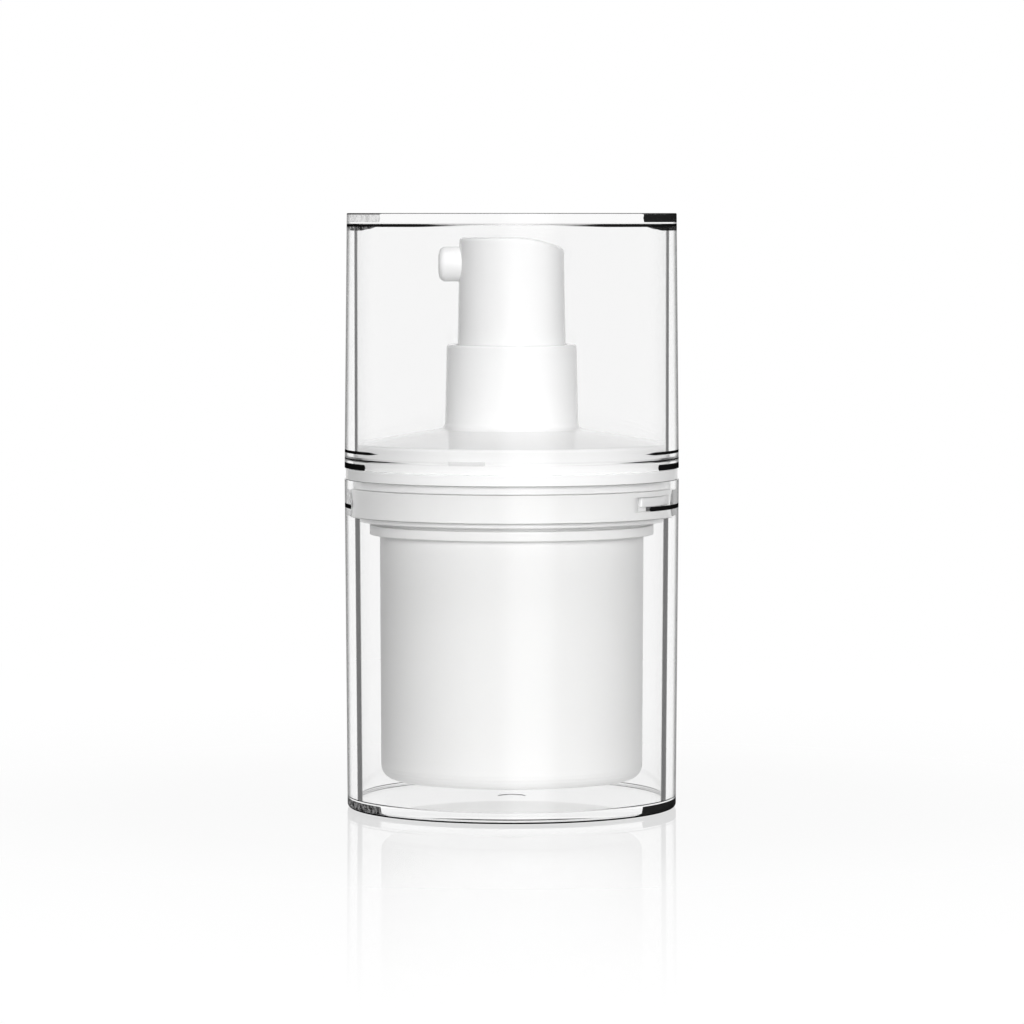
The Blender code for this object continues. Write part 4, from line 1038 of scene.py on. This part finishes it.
def flat_panel(name, width, height, material):
    """A flat rectangle of the studio."""
    bm = bmesh.new()
    bmesh.ops.create_grid(bm, x_segments=1, y_segments=1, size=0.5)
    bmesh.ops.scale(bm, vec=(width, height, 1.0), verts=bm.verts)
    mesh = bpy.data.meshes.new(name)
    bm.to_mesh(mesh)
    bm.free()
    mesh.materials.append(material)
    panel = bpy.data.objects.new(name, mesh)
    bpy.context.scene.collection.objects.link(panel)
    return panel


floor = flat_panel("floor", FLOOR_SIZE, FLOOR_SIZE, floor_material())
floor.location.z = -FLOOR_DROP
floor.visible_glossy = False
print("floor laid")

# %% [markdown]
# ## Light
# White things need to be lit from the front and left a little dark at their sides, or they look
# flat. A broad soft lamp stands before the bottle, weaker ones stand at both sides, one stands
# behind for the views from there, and one hangs overhead. The bright stripe down the clear shells
# is the reflection of a tall glowing panel a little to the right, which only mirror rays see. It
# starts under the board, and mirror rays don't see the board, so the stripe reaches the foot. The
# surroundings are white to the eye, in mirrors and through the shells, but weak as a light.

# %% Surroundings
SIDE_LIGHT = 0.04       # what the surroundings send to matt things
CEILING = 0.03          # how bright the ceiling is in mirrors and through the shells
CEILING_FROM = 0.17     # sine of the height where the white backdrop starts to end
CEILING_TO = 0.45
SKYLIGHT_FROM = 0.03    # a white strip runs overhead, and ends between these shares to the side
SKYLIGHT_TO = 0.25

world = bpy.data.worlds.new("white_room")
world.use_nodes = True
bpy.context.scene.world = world
tree = world.node_tree
background = tree.nodes["Background"]
background.inputs["Color"].default_value = (1.0, 1.0, 1.0, 1.0)
maths, ramp = node_maker(tree)
path = tree.nodes.new("ShaderNodeLightPath")
toward = tree.nodes.new("ShaderNodeTexCoord")
rise = tree.nodes.new("ShaderNodeSeparateXYZ")
tree.links.new(toward.outputs["Generated"], rise.inputs["Vector"])
overhead = ramp(maths("ABSOLUTE", rise.outputs["X"]), SKYLIGHT_FROM, SKYLIGHT_TO, 1.0, CEILING)
backdrop = ramp(rise.outputs["Z"], CEILING_FROM, CEILING_TO, 1.0, overhead)
in_mirrors = maths("MAXIMUM", path.outputs["Is Glossy Ray"], path.outputs["Is Transmission Ray"])
mirrored = tree.nodes.new("ShaderNodeMix")
mirrored.inputs["A"].default_value = SIDE_LIGHT
tree.links.new(in_mirrors, mirrored.inputs["Factor"])
tree.links.new(backdrop, mirrored.inputs["B"])
seen = tree.nodes.new("ShaderNodeMix")
seen.inputs["B"].default_value = 1.0
tree.links.new(path.outputs["Is Camera Ray"], seen.inputs["Factor"])
tree.links.new(mirrored.outputs["Result"], seen.inputs["A"])
tree.links.new(seen.outputs["Result"], background.inputs["Strength"])


# %% Lamps
TOP_AIM = 0.05          # the overhead lamp is aimed at this height on the axis


def softbox(name, width, height, distance, azimuth, centre, power):
    """A soft lamp that faces the axis, an azimuth in degrees to the right of the camera."""
    lamp = bpy.data.lights.new(name, "AREA")
    lamp.shape = "RECTANGLE"
    lamp.size = width
    lamp.size_y = height
    lamp.energy = power
    obj = bpy.data.objects.new(name, lamp)
    angle = math.radians(azimuth)
    obj.location = (distance * math.sin(angle), -distance * math.cos(angle), centre)
    obj.rotation_euler = (math.radians(90), 0.0, angle)
    bpy.context.scene.collection.objects.link(obj)
    obj.visible_camera = False
    obj.visible_transmission = False
    obj.visible_glossy = False
    return obj


# width, height and distance in metres, azimuth, height of the centre, and power in watts
softbox("front_softbox", 0.9, 0.9, 1.6, 0.0, 0.3, 32.3)
softbox("right_softbox", 0.8, 0.9, 1.6, 95.0, 0.35, 7.5)
softbox("left_softbox", 0.8, 0.9, 1.6, -120.0, 0.35, 0.5)
softbox("back_softbox", 0.9, 0.9, 1.6, 180.0, 0.35, 25.0)
top = softbox("top_softbox", 0.5, 0.5, 0.3, 0.0, 1.3, 6.5)
top.rotation_euler = (top.location - Vector((0, 0, TOP_AIM))).to_track_quat("Z", "Y").to_euler()

# %% Stripe panel
STRIPE_WIDTH = 0.207
STRIPE_CORE = 0.28      # share of it that is evenly bright
STRIPE_HEIGHT = 0.36
STRIPE_BELOW = 0.04     # it starts under the board, so that its reflection reaches the foot
STRIPE_DISTANCE = 0.25
STRIPE_AZIMUTH = 11.5
STRIPE_GLOW = 1.4       # how much brighter than the surroundings its middle is


def stripe_material():
    """A glow that is strongest in the middle and meets the surroundings' white at both sides."""
    material = bpy.data.materials.new("stripe_glow")
    material.use_nodes = True
    tree = material.node_tree
    tree.nodes.clear()
    add, link = tree.nodes.new, tree.links.new
    place = add("ShaderNodeTexCoord")
    split = add("ShaderNodeSeparateXYZ")
    link(place.outputs["Object"], split.inputs["Vector"])
    maths, ramp = node_maker(tree)
    half = STRIPE_WIDTH / 2
    fall = ramp(maths("ABSOLUTE", split.outputs["X"]), STRIPE_CORE * half, half, 1.0 + STRIPE_GLOW, 1.0)
    glow = add("ShaderNodeEmission")
    link(fall, glow.inputs["Strength"])
    link(glow.outputs[0], add("ShaderNodeOutputMaterial").inputs["Surface"])
    return material


stripe_panel = flat_panel("stripe_panel", STRIPE_WIDTH, STRIPE_HEIGHT, stripe_material())
angle = math.radians(STRIPE_AZIMUTH)
stripe_panel.location = (
    STRIPE_DISTANCE * math.sin(angle),
    -STRIPE_DISTANCE * math.cos(angle),
    STRIPE_HEIGHT / 2 - STRIPE_BELOW,
)
stripe_panel.rotation_euler = (math.radians(90), 0.0, angle)
stripe_panel.visible_camera = False
stripe_panel.visible_transmission = False
stripe_panel.visible_shadow = False
stripe_panel.visible_diffuse = False

# %% [markdown]
# ## Camera
# The picture was taken from far away with a long lens, from the height of the cap's top, looking
# down by about three degrees. One millimetre at the bottle's axis is 6.967 pixels of a picture
# that is 1024 pixels wide.

# %% Camera
PICTURE_WIDTH = 1024
FOCAL_PIXELS = 5170.0
SENSOR = 36.0
PIXELS_PER_MM = 6.967
EYE_HEIGHT = 0.085
AIM_HEIGHT = 0.0424
AIM_SIDE = 0.00004

camera_data = bpy.data.cameras.new("camera")
camera_data.sensor_width = SENSOR
camera_data.lens = FOCAL_PIXELS * SENSOR / PICTURE_WIDTH
camera_data.clip_start = 0.01
camera = bpy.data.objects.new("camera", camera_data)
bpy.context.scene.collection.objects.link(camera)
distance = FOCAL_PIXELS / PIXELS_PER_MM * MM
camera.location = (AIM_SIDE, -distance, EYE_HEIGHT)
aim = Vector((AIM_SIDE, 0.0, AIM_HEIGHT)) - camera.location
camera.rotation_euler = aim.to_track_quat("-Z", "Y").to_euler()
bpy.context.scene.camera = camera
bpy.context.scene.view_settings.view_transform = "Standard"
print("lens", round(camera_data.lens, 1), "mm at", round(distance, 3), "m")
